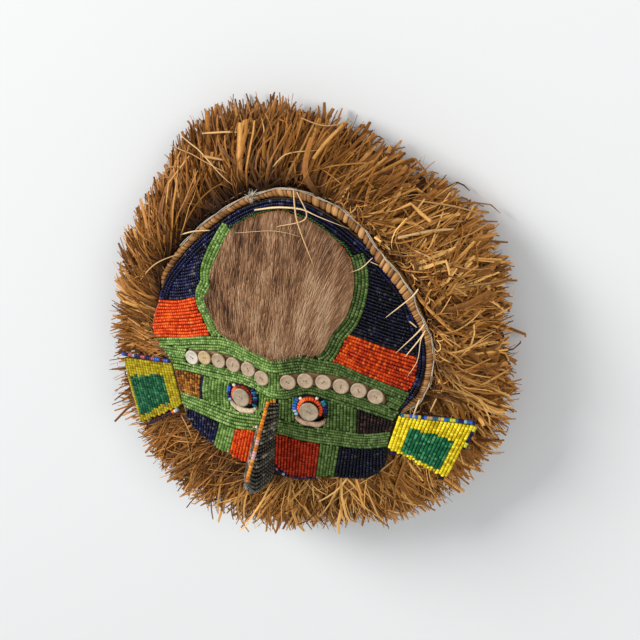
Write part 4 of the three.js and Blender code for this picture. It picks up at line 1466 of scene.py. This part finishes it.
def nose_beads():
    right, left, ridge = Threads(), Threads(), Threads()
    ups = np.linspace(0, 1, 40)
    for down in np.linspace(0.02, 0.985, 22):
        tone = rng.uniform(0.2, 0.8)
        bead_line(right, nose_place(down, ups, 1, 0.0), (1, 0, 0.4), tone)
        if down > 0.3:
            bead_line(left, nose_place(down, ups, -1, 0.0), (-1, 0, 0.4), tone)
    for up in (0.15, 0.34, 0.53, 0.7, 0.85):
        ends = np.vstack([nose_place(1.0, up, 1, 0.3), nose_place(1.0, up, -1, 0.3)])
        bead_line(left, ends + np.array([0, -0.6, 0]), (0, -1, -0.3), 0.5, 0.8)
    line = nose_place(np.linspace(0.0, 0.985, 200), 1.0, 1) + np.array([0, 0, -0.4])
    gone = travelled(line)
    steps = np.arange(0.6, gone[-1], 2.1)
    count = len(steps)
    spots = along_line(line, gone, steps)
    lilac = (np.abs(spots[:, 1] + 62.0) < 1.6) | (np.abs(spots[:, 1] + 70.5) < 2.4)
    picks = np.where(lilac, rng.uniform(0.85, 1.0, count), rng.uniform(0, 0.7, count))
    axes = unit(line[-1:] - line[:1]) + rng.normal(0, 0.04, spots.shape)
    ridge.add(spots, axes, (0.0, 0.3, 1.0), 2.15, rng.uniform(1.3, 1.5, count), picks)
    start = nose_place(0.0, 1.0, 1)
    across = start + np.outer(np.arange(1, 3) * 2.0, (1, 0, -0.5)) + np.array([0, 0.2, -0.6])
    ridge.add(across, np.tile([1.0, 0.1, -0.5], (2, 1)), (0, 0.3, 1), 1.9, 1.2,
              np.array([0.2, 0.4]))
    right.piece("nose_beads_right", glass("nose_black_beads", [
        (0.0, dye(14, 14, 11)), (0.5, dye(40, 38, 30)), (0.8, dye(84, 80, 64)),
        (1.0, dye(150, 144, 124)),
    ], gloss=0.8), "dark_beads")
    left.piece("nose_beads_left", glass("nose_grey_beads", [
        (0.0, dye(30, 29, 28)), (0.5, dye(76, 74, 66)), (1.0, dye(166, 158, 142)),
    ]), "dark_beads")
    ridge.piece("nose_ridge_beads", glass("ridge_amber_beads", [
        (0.0, dye(160, 80, 10)), (0.45, dye(204, 118, 24)), (0.72, dye(226, 152, 52)),
        (0.78, dye(176, 124, 118)), (1.0, dye(206, 158, 154)),
    ], True), "orange_beads")


nose_core()
nose_beads()


# Ears: four-cornered cloth flaps sewn to the sides of the face by their inner edge.
# Upright rows of yellow beads frame a green square, and trim beads are strung along the edges.

def ear_place(corners, u, v, lift):
    """A place on an ear: u outwards from the face and v down from its top edge."""
    inner_top, outer_top, outer_bottom, inner_bottom = (np.array(c, float) for c in corners)
    a = np.append(inner_top, face_height(*inner_top) + 0.3)
    b = np.append(outer_top, EAR_OUTER_HEIGHT + 0.5)
    c = np.append(outer_bottom, EAR_OUTER_HEIGHT - 0.5)
    d = np.append(inner_bottom, face_height(*inner_bottom) + 0.3)
    u, v = np.broadcast_arrays(np.asarray(u, float), np.asarray(v, float))
    spot = lerp(lerp(a, b, u[..., None]), lerp(d, c, u[..., None]), v[..., None])
    wave = 0.35 * np.sin(7 * u + 3 * v) + 0.3 * np.sin(9 * v - 2 * u)
    spot[..., 2] += 1.1 * np.sin(math.pi * u) * np.sin(math.pi * v) + wave * u + lift
    return spot


def ear_flap(name, corners, node):
    cells = 12
    share = np.linspace(0.01, 0.99, cells + 1)
    u, v = np.meshgrid(share, share, indexing="ij")
    top = ear_place(corners, u, v, -1.5).reshape(-1, 3)
    low = ear_place(corners, u, v, -EAR_THICK).reshape(-1, 3)
    count = len(top)
    faces = slab(skin(cells + 1, cells + 1, False, False), count)
    if corners[0][0] > 0:
        faces = [group[:, ::-1] for group in faces]
    # The top of the flap, under the beads, takes the canvas's near-black painted shade.
    marks = {"bare": np.concatenate([np.zeros(count), np.ones(count)])}
    build(
        name, np.vstack([top, low]), faces, canvas_finish, [node], marks, smooth=False,
    )


def ear_beads(name, corners, rows, square):
    """Upright rows; square is where the green part begins and ends across, top and bottom.

    The tops and bottoms of the square are each given at its inner and outer side.
    """
    u_from, u_to, v_from, v_to = square
    yellow, centre = Threads(), Threads()
    fine = np.linspace(0.015, 0.985, 40)
    for k in range(rows):
        u = (k + 0.5) / rows
        line = ear_place(corners, np.full(40, u), fine, -0.95)
        gone = travelled(line)
        steps = np.arange(0.6 + rng.uniform(0, 0.3), gone[-1] - 0.5, 2.05)
        spots = along_line(line, gone, steps)
        v = np.interp(steps, gone, fine)
        count = len(steps)
        axes = unit(np.tile(line[-1] - line[0], (count, 1))) + rng.normal(0, 0.06, (count, 3))
        inward = (u - u_from) / (u_to - u_from)
        begin = lerp(*v_from, inward) + rng.uniform(-0.025, 0.025)
        finish_at = lerp(*v_to, inward) + rng.uniform(-0.02, 0.02)
        chosen = (u > u_from) & (u < u_to) & (v > begin) & (v < finish_at)
        for threads, mine in ((yellow, ~chosen), (centre, chosen)):
            if mine.any():
                size = rng.uniform(1.16, 1.3, mine.sum())
                threads.add(spots[mine], axes[mine], (0, 0, 1), 2.1, size)
    yellow.piece(name + "_yellow", ear_yellow, "ear_beads")
    centre.piece(name + "_green", ear_green, "ear_beads")


def ear_trim(name, corners, edges):
    """Strings of trim beads: each edge is its two ends as (u, v), and colours of beads."""
    threads = Threads()
    for start, end, names in edges:
        count = len(names.split())
        share = (np.arange(count) + 0.5) / count
        u, v = (lerp(start[k], end[k], share) for k in range(2))
        string(threads, ear_place(corners, u, v, -0.5), names, 2.15, 1.35)
    threads.piece(name, trim_glass, "ear_beads")


ear_yellow = glass("ear_yellow_beads", [
    (0.0, dye(142, 116, 6)), (0.4, dye(196, 172, 14)), (1.0, dye(228, 208, 52)),
], halves=(0.66, 1.3))
ear_green = glass("ear_green_beads", [
    (0.0, dye(8, 58, 34)), (0.5, dye(18, 86, 52)), (0.85, dye(52, 120, 78)),
    (1.0, dye(104, 160, 112)),
], halves=(0.85, 1.25))
ear_flap("ear_cloth_left", LEFT_EAR, "ear_left")
ear_flap("ear_cloth_right", RIGHT_EAR, "ear_right")
ear_beads("ear_beads_left", LEFT_EAR, 18, (0.2, 0.945, (0.25, 0.29), (0.83, 0.87)))
ear_beads("ear_beads_right", RIGHT_EAR, 20, (0.19, 0.86, (0.27, 0.3), (0.88, 0.9)))
ear_trim("ear_trim_left", LEFT_EAR, [
    ((0.04, -0.035), (1.0, -0.05),
     "blue blue maroon maroon blue blue blue pink navy navy navy pink pink navy navy navy "
     "pale_blue pink pink navy navy blue"),
    ((0.1, 1.03), (0.86, 1.045),
     "pale_blue white orange navy maroon black maroon maroon black maroon black maroon navy "
     "black maroon black"),
])
ear_trim("ear_trim_right", RIGHT_EAR, [
    ((0.03, -0.035), (1.0, -0.04),
     "teal tan tan blue pale_blue blue lime navy blue tan tan teal teal tan lime blue teal "
     "lime lime teal navy navy pale_blue teal blue navy"),
    ((1.025, 0.02), (1.025, 0.42), "lime lime navy black navy navy black lime lime black"),
    ((0.07, 1.04), (0.12, 1.04), "navy navy"),
    ((0.9, 1.03), (0.96, 1.02), "black black"),
])


# Brow buttons: two rows of six round shell buttons, sewn on over the lane between the rows.
# Each is turned flat with a soft rim, has two small holes close together, and is held by a
# stitch of brown thread. The first two are a little smaller and paler.

SHELL_THICK = 1.7
BUTTON_SPOKES = 32
HOLE_RADIUS = 0.48
HOLE_SIDES = 10


def shell_finish(name, dark, light):
    finish = Finish(name, {"Roughness": 0.42, "Specular IOR Level": 0.4})
    cloud = finish.noise(260, 4, (1, 1, 1), 0.6)
    grain = finish.noise(1500, 2, (1, 0.3, 1))
    colour = finish.ramp(cloud * 0.7 + grain * 0.3, [(0.3, dark), (0.65, light)])
    colour = finish.mix(finish.mark("rim") * 0.55, colour, dye(118, 96, 66))
    finish.colour(finish.mix(finish.mark("thread"), colour, dye(120, 100, 78)))
    finish.bump(grain, 0.25, 0.15)
    return finish


def button_mesh(radius, spacing):
    """Points and faces of a button lying flat, and how much rim and thread each point is."""
    top = SHELL_THICK - 0.34
    profile = [
        (radius - 0.5, 0.0), (radius - 0.05, 0.45), (radius, SHELL_THICK - 0.5),
        (radius - 0.35, SHELL_THICK - 0.1), (radius - 0.9, SHELL_THICK),
        (radius - 1.5, SHELL_THICK - 0.28), (2.4, top),
    ]
    circle = ellipse(0, 0, 1, 1, BUTTON_SPOKES)
    points = [np.column_stack([circle * r, np.full(BUTTON_SPOKES, z)]) for r, z in profile]
    faces = [skin(len(profile), BUTTON_SPOKES, False)[:, ::-1],
             np.arange(BUTTON_SPOKES)[None, ::-1]]
    edge_shades = np.repeat([1.0, 1.0, 0.9, 0.25, 0.0, 0.1, 0.0], BUTTON_SPOKES)
    holes = [ellipse(side * spacing / 2, 0, HOLE_RADIUS, HOLE_RADIUS, HOLE_SIDES)
             for side in (-1, 1)]
    flat, inner = triangulated([circle * profile[-1][0], *holes], np.zeros((0, 2)))
    first = len(profile) * BUTTON_SPOKES
    points.append(np.column_stack([flat, np.full(len(flat), top)]))
    faces.append(inner + first)
    first += len(flat)
    for hole in holes:
        for level in (top, 0.5):
            points.append(np.column_stack([hole, np.full(HOLE_SIDES, level)]))
        bottom = np.arange(HOLE_SIDES)[None, :] + first + HOLE_SIDES
        faces += [skin(2, HOLE_SIDES, False, first=first)[:, ::-1], bottom]
        first += 2 * HOLE_SIDES
    half = spacing / 2
    ends = np.array([(-half, 0, 1.0), (-half / 2, 0, 1.5), (half / 2, 0, 1.5), (half, 0, 1.0)])
    thread, thread_faces = strips(ends[None], 0.15, 1.0, 0.0, 5)
    points = np.vstack([*points, thread])
    faces += [group + first for group in thread_faces]
    rims, threads = np.zeros(len(points)), np.zeros(len(points))
    rims[:len(edge_shades)] = edge_shades
    threads[-len(thread) - 4 * HOLE_SIDES:] = 1.0
    return points, faces, {"rim": rims, "thread": threads}


def sewn_button(name, x, y, size, lift, turn, spacing, finish, node):
    """One button, lying on the face at a spot and turned about its middle."""
    points, faces, marks = button_mesh(size / 2, spacing)
    spot = np.array([[x, y]])
    normal = face_normal(spot)[0]
    across = unit(np.cross([0.0, 1.0, 0.0], normal))
    up = np.cross(normal, across)
    angle = math.radians(turn)
    u = across * math.cos(angle) + up * math.sin(angle)
    v = np.cross(normal, u)
    middle = on_face(spot, 0)[0] + normal * lift
    placed = middle + points[:, :1] * u + points[:, 1:2] * v + points[:, 2:] * normal
    build(name, placed, faces, finish, [node], marks)


shell = shell_finish("shell_buttons", dye(142, 118, 92), dye(184, 162, 136))
yellow_shell = shell_finish("yellow_shell_buttons", dye(156, 128, 84), dye(196, 172, 130))
white_shell = shell_finish("white_shell_buttons", dye(168, 156, 134), dye(208, 200, 184))
for side, row in (("left", LEFT_BROW), ("right", RIGHT_BROW)):
    for i, (x, y, size) in enumerate(row):
        finish = {("left", 0): white_shell, ("left", 1): yellow_shell}.get((side, i), shell)
        sewn_button(
            f"shell_button_{side}_{i + 1}", x, y, size, 0.45 + 0.3 * (i % 2), -25 + 35 * i, 1.9,
            finish, f"brow_button_{side}_{i + 1}",
        )


# Eyes: over each opening lies a round backing with a fringe of orange beads laid like rays.
# Blue and black beads fill the corners, a larger button is the pupil, and a rolled strip of
# pale cloth closes the opening below.

EYE_MIDDLES = {-1: (-EYE_X - 0.6, -39.4), 1: (EYE_X, -38.2)}
CORNER_MIDDLE = 11.0  # from there to the middle of the corner beads
LID_Y = -42.6
LID_INNER, LID_OUTER = (10.6, 7.0), (12.3, 11.6)  # half widths and half heights of its edges


def eye_places(side, turns, radius, lift):
    """Places round the middle of an eye's backing, for turns in degrees, and the ways out."""
    out = pointing(np.radians(turns))
    places = on_face(EYE_MIDDLES[side] + radius * out, lift)
    return places, np.column_stack([out, np.zeros(len(out))])


def eye_backing(name, side, node):
    spokes = 40
    turns = np.arange(spokes) / spokes * 360
    rows = []
    for radius, lift in ((9.0, -1.6), (9.4, -0.4), (9.0, 0.3), (4.0, 0.5), (0.3, 0.5)):
        rows.append(eye_places(side, turns, radius, lift)[0])
    count = len(rows)
    faces = [skin(count, spokes, False)[:, ::-1], end_faces(count, spokes)[:, ::-1]]
    build(name, np.vstack(rows), faces, backing_finish, [node])


def eye_rays(name, side, shades, radius, length):
    """The orange rays from lower left over the top to lower right."""
    rays = Threads()
    turns = np.linspace(205, -25, len(shades)) + rng.normal(0, 1.5, len(shades))
    places, axes = eye_places(side, turns, radius, 1.15)
    axes = axes + rng.normal(0, 0.06, axes.shape)
    rays.add(places, axes, (0, 0, 1), length, 1.05, np.array(shades))
    rays.piece(name, ray_glass, "orange_beads")


def eye_corners(name, side, groups):
    """Beads beside the rays: each group is its turns, colours, distance out and length."""
    threads = Threads()
    for turns, names, radius, length in groups:
        turns = np.linspace(*turns, len(names.split()))
        places, axes = eye_places(side, turns, radius, 0.9)
        axes = axes + rng.normal(0, 0.08, axes.shape)
        threads.add(places, axes, (0, 0, 1), length, 1.12, tint(names))
    threads.piece(name, trim_glass, "beadwork")


def cloth_finish(name, dark, light):
    finish = Finish(name, {"Roughness": 0.85, "Specular IOR Level": 0.2})
    weave = finish.noise(1100, 3, (1, 0.35, 1))
    finish.colour(finish.ramp(weave, [(0.3, dark), (0.7, light)]))
    finish.bump(weave, 0.6, 0.4)
    return finish


def cloth_lid(name, side, finish, node):
    turns = np.radians(np.linspace(204, 336, 22))
    n = len(turns)
    middle = (side * EYE_X, LID_Y)
    inner, outer = (middle + pointing(turns) * half for half in (LID_INNER, LID_OUTER))
    outer[:, 1] = np.maximum(outer[:, 1], cheek_top(outer[:, 0]) - 0.2)
    folds = 0.25 * np.sin(np.arange(n) * 0.9 + side) + rng.normal(0, 0.06, n)
    rows = []
    for share, lift in ((0.0, -1.9), (0.0, -0.2), (0.18, 0.45), (0.5, 0.7), (0.85, 0.4),
                        (1.0, -0.5), (1.0, -1.9)):
        rows.append(on_face(lerp(inner, outer, share), lift + folds * (share > 0)))
    ring = np.stack(rows, 1)
    count = len(rows)
    faces = [skin(n, count, False), end_faces(n, count)[:, ::-1]]
    build(name, ring.reshape(-1, 3), faces, finish, [node])


backing_finish = cloth_finish("eye_backing_cloth", dye(14, 10, 9), dye(34, 24, 20))
ray_glass = glass("ray_beads", [
    (0.0, dye(84, 26, 10)), (0.3, dye(140, 42, 12)), (0.65, dye(214, 76, 24)),
    (1.0, dye(232, 120, 70)),
], True)
# Place of each ray in the band of colours, from the lower left over the top
LEFT_RAYS = [0.8, 0.85, 0.9, 0.95, 0.9, 0.8, 0.3, 0.15, 0.2, 0.3, 0.25, 0.3, 0.2, 0.3, 0.35,
             0.5, 0.6]
RIGHT_RAYS = [0.7, 0.75, 0.7, 0.8, 0.95, 1.0, 0.7, 0.6, 0.65, 0.6, 0.5, 0.55, 0.45, 0.5, 0.6,
              0.65, 0.6]
pupil_shell = shell_finish("pupil_shell_buttons", dye(116, 98, 78), dye(170, 152, 128))
eye_rays("eye_rays_left", -1, LEFT_RAYS, 7.2, 2.4)
eye_rays("eye_rays_right", 1, RIGHT_RAYS, 7.7, 2.8)
for side, word, x, y in ((-1, "left", -EYE_X + 0.3, -39.2), (1, "right", EYE_X - 0.4, -39.5)):
    eye_backing(f"eye_backing_{word}", side, f"eye_disc_{word}")
    sewn_button(
        f"pupil_button_{word}", x, y, 13.9, 2.6, -35, 2.2, pupil_shell, f"eye_button_{word}",
    )
eye_corners("eye_corners_left", -1, [
    ((146, 208), "black blue blue navy navy pale_blue", CORNER_MIDDLE, 2.6),
    ((133, 134), "white", 9.6, 2.0),
    ((38, -24), "navy teal navy teal navy black teal", CORNER_MIDDLE, 3.4),
])
eye_corners("eye_corners_right", 1, [
    ((150, 210), "blue teal blue blue pale_blue pale_blue", CORNER_MIDDLE, 2.8),
    ((135, 136), "white", 9.9, 1.8),
    ((62, 63), "white", 9.9, 1.6),
    ((36, -22), "teal teal black navy navy black black", CORNER_MIDDLE, 3.4),
])
cream = cloth_finish("cream_lid_cloth", dye(170, 146, 112), dye(216, 198, 166))
tan = cloth_finish("tan_lid_cloth", dye(136, 106, 84), dye(186, 156, 130))
cloth_lid("cloth_lid_left", -1, cream, "eyelid_left")
cloth_lid("cloth_lid_right", 1, tan, "eyelid_right")


# Binding twine: two thin plies of pale string, laid along the shoulder of the hoop and caught
# under its whipping here and there. Its ends are tied in a small frayed knot over the brow.

TWINE_FROM, TWINE_TO = 0.20, 0.655  # share of the way round from the chin
KNOT_SHARE = 0.583
PLY_RADIUS = 0.34


def hoop_shoulder(shares, outward, upward):
    """A line along the hoop, at shares of its own radius outwards and upwards."""
    centre, out, _, extra = hoop_line(shares)
    place = centre + out * np.reshape((HOOP_RADIUS + extra) * outward, (-1, 1))
    place[:, 2] += (HOOP_RADIUS + 0.3 * extra) * upward
    return place, out


def knot_fibres():
    """The knot: short fibres bent every way round one spot of the hoop."""
    place, _ = hoop_shoulder(np.array([KNOT_SHARE]), 0.6, 1.3)
    n, places = 46, 5
    way = unit(rng.normal(0, 1, (n, 3)) + np.array([0.2, 0.3, 0.5]))
    bend = rng.normal(0, 1, (n, 3))
    grown = np.linspace(-0.3, 1, places)[None, :, None]
    length = rng.uniform(2.2, 5.5, (n, 1, 1))
    paths = place[:, None, :] + way[:, None, :] * length * grown
    paths = paths + bend[:, None, :] * grown**2 * 1.2
    return strips(paths, (0.34, 0.36, 0.3, 0.22, 0.1), 0.8, 0.0, 4)


def binding_twine():
    finish = Finish("pale_twine", {"Roughness": 0.85, "Specular IOR Level": 0.15})
    fibre = finish.noise(1400, 3)
    finish.colour(finish.ramp(fibre, [(0.3, dye(130, 118, 100)), (0.7, dye(204, 194, 176))]))
    finish.bump(fibre, 0.5, 0.3)
    count = 700
    shares = np.linspace(TWINE_FROM, TWINE_TO, count)
    wander = 0.1 * np.sin(shares * 63) + 0.07 * np.sin(shares * 171 + 1)
    middle, out = hoop_shoulder(shares, 0.92 + wander, 0.84 - wander)
    middle[:, 2] -= np.sin(shares * 120) ** 6 * 1.3
    gone = travelled(middle)
    apart = PLY_RADIUS * (1 + 0.7 * np.sin(shares * 90) ** 2)
    paths = []
    for ply in (0, math.pi):
        angle = gone / 45 * math.tau + ply
        side = out * (np.cos(angle) * apart)[:, None]
        paths.append(middle + side + np.outer(np.sin(angle) * PLY_RADIUS, (0, 0, 1)))
    points, faces = strips(np.stack(paths), PLY_RADIUS, 1.0, 0.0, 5)
    frayed, frayed_faces = knot_fibres()
    faces = faces + [group + len(points) for group in frayed_faces]
    points = np.vstack([points, frayed])
    build("pale_twine", points, faces, finish, ["binding_twine"])


binding_twine()


# Loose strands: single pale strips that have worked out of the hoop and lie over the face,
# and longer ones that wander across the fringe. Each is placed one by one.

STRAND_PLACES = 14
STRAND_SIDES = 4
# Points across, up and above the face, then half the width of the strip
FACE_STRANDS = [
    ([(-22, 95, 1.6), (-2, 100.5, 2.4), (13, 100.8, 2.8), (22.5, 97.5, 2.6),
      (44.5, 91.5, 3.2)], 0.75),
    ([(7, 114, 6), (10, 98.6, 7), (12.8, 89.2, 6), (24, 64.5, 4.6)], 0.5),
    ([(9.6, 113, 6.5), (16.8, 96.8, 6), (-3, 88.4, 5)], 0.42),
    ([(-35, 78, 4.2), (-1.5, 85.4, 5), (13.4, 83.6, 4.8)], 0.16),
    ([(62, 75, 5), (55, 67.2, 5), (47.4, 63, 4)], 0.32),
    ([(60, 71, 2), (65.5, 69.5, 2.5)], 0.3),
    ([(93, 57.5, 4), (90.4, 53.2, 4), (73.4, 35.4, 2.2)], 0.62),
    ([(99, 34, 2), (96.2, 29.4, 3), (82.2, 12, 1.8)], 0.55),
    ([(100, 30, 2), (97.4, 24.6, 3), (88.4, 10, 1.6)], 0.5),
    ([(99.5, 28, 3), (98, 24, 3.4), (97, 9.2, 3), (90.8, -4, 1.2)], 0.4),
    ([(88.8, 34, 0.8), (94, 30.6, 1)], 0.5),
    ([(-79, 68, 2), (-68, 72.6, 3), (-56, 75, 1.2)], 0.55),
    ([(110, -20, -4), (106.6, -30.6, -3)], 0.6),
    ([(99.6, -20.5, 0), (95.8, -35.4, 0.5)], 0.5),
]
# Points across, up and above the fringe, then half the width of the strip
FRINGE_STRANDS = [
    ([(-69.8, 136.3, 3), (-48.3, 140.7, 4), (-29.1, 142.2, 3)], 0.8),
    ([(-88.2, 130.6, 2), (-60.9, 123.8, 4), (-37.6, 110.5, 3)], 0.5),
    ([(-64.4, 124.2, 4), (-46.1, 125.1, 4)], 1.1),
    ([(-49.2, 155, 2), (-44.4, 148.2, 4), (-42.8, 138.7, 2)], 1.0),
    ([(-98.4, 122.8, 2), (-68.1, 122.3, 4), (-41.9, 117.6, 3)], 0.55),
    ([(-9.4, 125.8, 2), (-1.4, 134.4, 5), (18.5, 137, 4)], 0.5),
    ([(77, 89.4, 3), (92.7, 92.4, 5), (107.7, 92.7, 4)], 2.1),
    ([(121.4, 59.7, 3), (134.6, 59.6, 4), (143.7, 59.8, 3)], 0.9),
    ([(79.7, 109.6, 3), (102.5, 105.6, 5), (121.7, 99.3, 3)], 0.7),
    ([(83.8, 84.1, 2), (102.8, 76.5, 5), (120.7, 63.3, 3)], 0.5),
    ([(-79.2, -87, 2), (-74.7, -107.4, 3), (-75.2, -135.9, 2)], 0.45),
    ([(-97.5, -109.7, 2), (-74.5, -107.1, 3.4)], 0.45),
    ([(-87.6, -119.2, 2), (-74.3, -106.8, 3.8), (-66.6, -98.7, 2)], 0.5),
    ([(-82.3, -74.2, 2), (-75.8, -81.6, 4), (-72.3, -91.1, 3)], 0.45),
    ([(20.7, -102, 2), (30.2, -116, 4), (37.6, -138.4, 3)], 0.45),
    ([(87, -69.6, 2), (74.6, -83.5, 4), (57.9, -99.1, 4), (38.5, -119.5, 3)], 0.55),
    ([(101.9, 21.4, 3), (110.4, 10.8, 5), (114.4, -3.2, 5), (103.7, -31.4, 3)], 0.45),
    ([(107.3, -12.9, 1), (118.9, -10.6, 2), (126.3, -21.9, 1)], 0.5),
    ([(107.1, -20.4, 1), (116.3, -24.7, 2), (123.9, -29, 1)], 0.5),
    ([(132, 12.4, 3), (141.1, -3.2, 4), (146.4, -16.9, 2)], 0.6),
    ([(105.8, 75.8, 3), (122.4, 69.6, 5), (134.2, 68.7, 4)], 0.6),
    ([(-1.6, 152.8, 3), (16.6, 149.4, 5), (30, 151.3, 4)], 0.5),
    ([(-114, 27.2, 3), (-95.6, 46.2, 4), (-78.9, 54.5, 3)], 0.5),
]


def fringe_top(spots):
    """Height of the top of the fringe at spots across and up."""
    centre, _, turn = rim(all_round)
    apart = np.abs((turned(spots)[:, None] - turn[None, :] + 180) % 360 - 180)
    nearest = apart.argmin(axis=1)
    roots = centre[nearest]
    begin = np.linalg.norm(roots[:, :2], axis=1)
    share = (np.linalg.norm(spots, axis=1) - begin) / (tip_reach(spots) - begin)
    return fringe_depth(roots, turn[nearest], spots[:, None, :], share[:, None])[1][:, 0]


def loose_strands():
    finish = raffia_finish("loose_raffia", (1, 1, 1, 1), 0.5, dye(150, 104, 54),
                           dye(200, 156, 98), dye(230, 198, 148))
    paths, widths = [], []
    shares = np.linspace(0, 1, STRAND_PLACES)
    taper = np.interp(shares, [0, 0.15, 0.5, 0.85, 1], [0.7, 1, 1, 0.8, 0.5])
    for strands, on_the_face in ((FACE_STRANDS, True), (FRINGE_STRANDS, False)):
        for points, half in strands:
            path = spline(points, shares)
            if on_the_face:
                path[:, 2] += face_height(path[:, 0], path[:, 1])
            else:
                path[:, 2] += fringe_top(path[:, :2])
            paths.append(path)
            widths.append(half * taper)
    paths, widths = np.stack(paths), np.stack(widths)
    n = len(paths)
    roll = rng.uniform(-0.5, 0.5, n)[:, None] + rng.normal(0, 0.8, n)[:, None] * shares[None, :]
    points, faces = strips(paths, widths, 0.3, roll, STRAND_SIDES)
    pale = rng.uniform(0, 0.55, n)
    pale[:len(FACE_STRANDS)] += 0.4
    pick = np.repeat(pale, STRAND_PLACES * STRAND_SIDES)
    along = np.ones(len(points))
    build("loose_strands", points, faces, finish, (), {"pick": pick, "along": along})


loose_strands()


# Studio: a plain pale floor, one broad soft light from the left, and a weak fill from the right
# and from the sky. The camera looks down on the face from the upper right, as in the photograph.

FLOOR_HALF = 6.0
TARGET = Vector((8.78, 9.14, 28.0)) * MM
CAMERA_RIGHT = (0.9338, 0.0238, -0.3570)
CAMERA_UP = (-0.1678, 0.9104, -0.3782)
CAMERA_BACK = (0.3159, 0.4131, 0.8541)
CAMERA_AWAY = 0.8
FIELD_OF_VIEW = math.radians(32)


def pale_floor():
    finish = Finish("pale_floor", {"Roughness": 0.95, "Base Color": (0.66, 0.66, 0.655, 1)})
    mesh = bpy.data.meshes.new("floor")
    half = FLOOR_HALF
    corners = [(-half, -half, 0), (half, -half, 0), (half, half, 0), (-half, half, 0)]
    mesh.from_pydata(corners, [], [(0, 1, 2, 3)])
    mesh.materials.append(finish.material)
    floor = bpy.data.objects.new("floor", mesh)
    bpy.context.scene.collection.objects.link(floor)


def area_light(name, towards, away, size, power):
    lamp = bpy.data.lights.new(name, "AREA")
    lamp.size = size
    lamp.energy = power
    made = bpy.data.objects.new(name, lamp)
    direction = Vector(towards).normalized()
    made.location = TARGET + direction * away
    made.rotation_euler = direction.to_track_quat("Z", "Y").to_euler()
    bpy.context.scene.collection.objects.link(made)


def sky(strength):
    world = bpy.data.worlds.new("studio")
    world.use_nodes = True
    background = world.node_tree.nodes["Background"]
    background.inputs["Color"].default_value = (0.94, 0.97, 1.0, 1)
    background.inputs["Strength"].default_value = strength
    bpy.context.scene.world = world


def view():
    lens = bpy.data.cameras.new("camera")
    lens.angle = FIELD_OF_VIEW
    camera = bpy.data.objects.new("camera", lens)
    axes = Matrix((CAMERA_RIGHT, CAMERA_UP, CAMERA_BACK)).transposed()
    camera.rotation_euler = axes.to_euler()
    camera.location = TARGET + Vector(CAMERA_BACK) * CAMERA_AWAY
    bpy.context.scene.collection.objects.link(camera)
    bpy.context.scene.camera = camera


pale_floor()
area_light("window", (-0.80, 0.42, 0.56), 4.2, 1.9, 190)
area_light("fill", (0.62, 0.45, 0.75), 3.4, 1.4, 48)
sky(0.55)
view()
bpy.context.scene.view_settings.view_transform = "Standard"
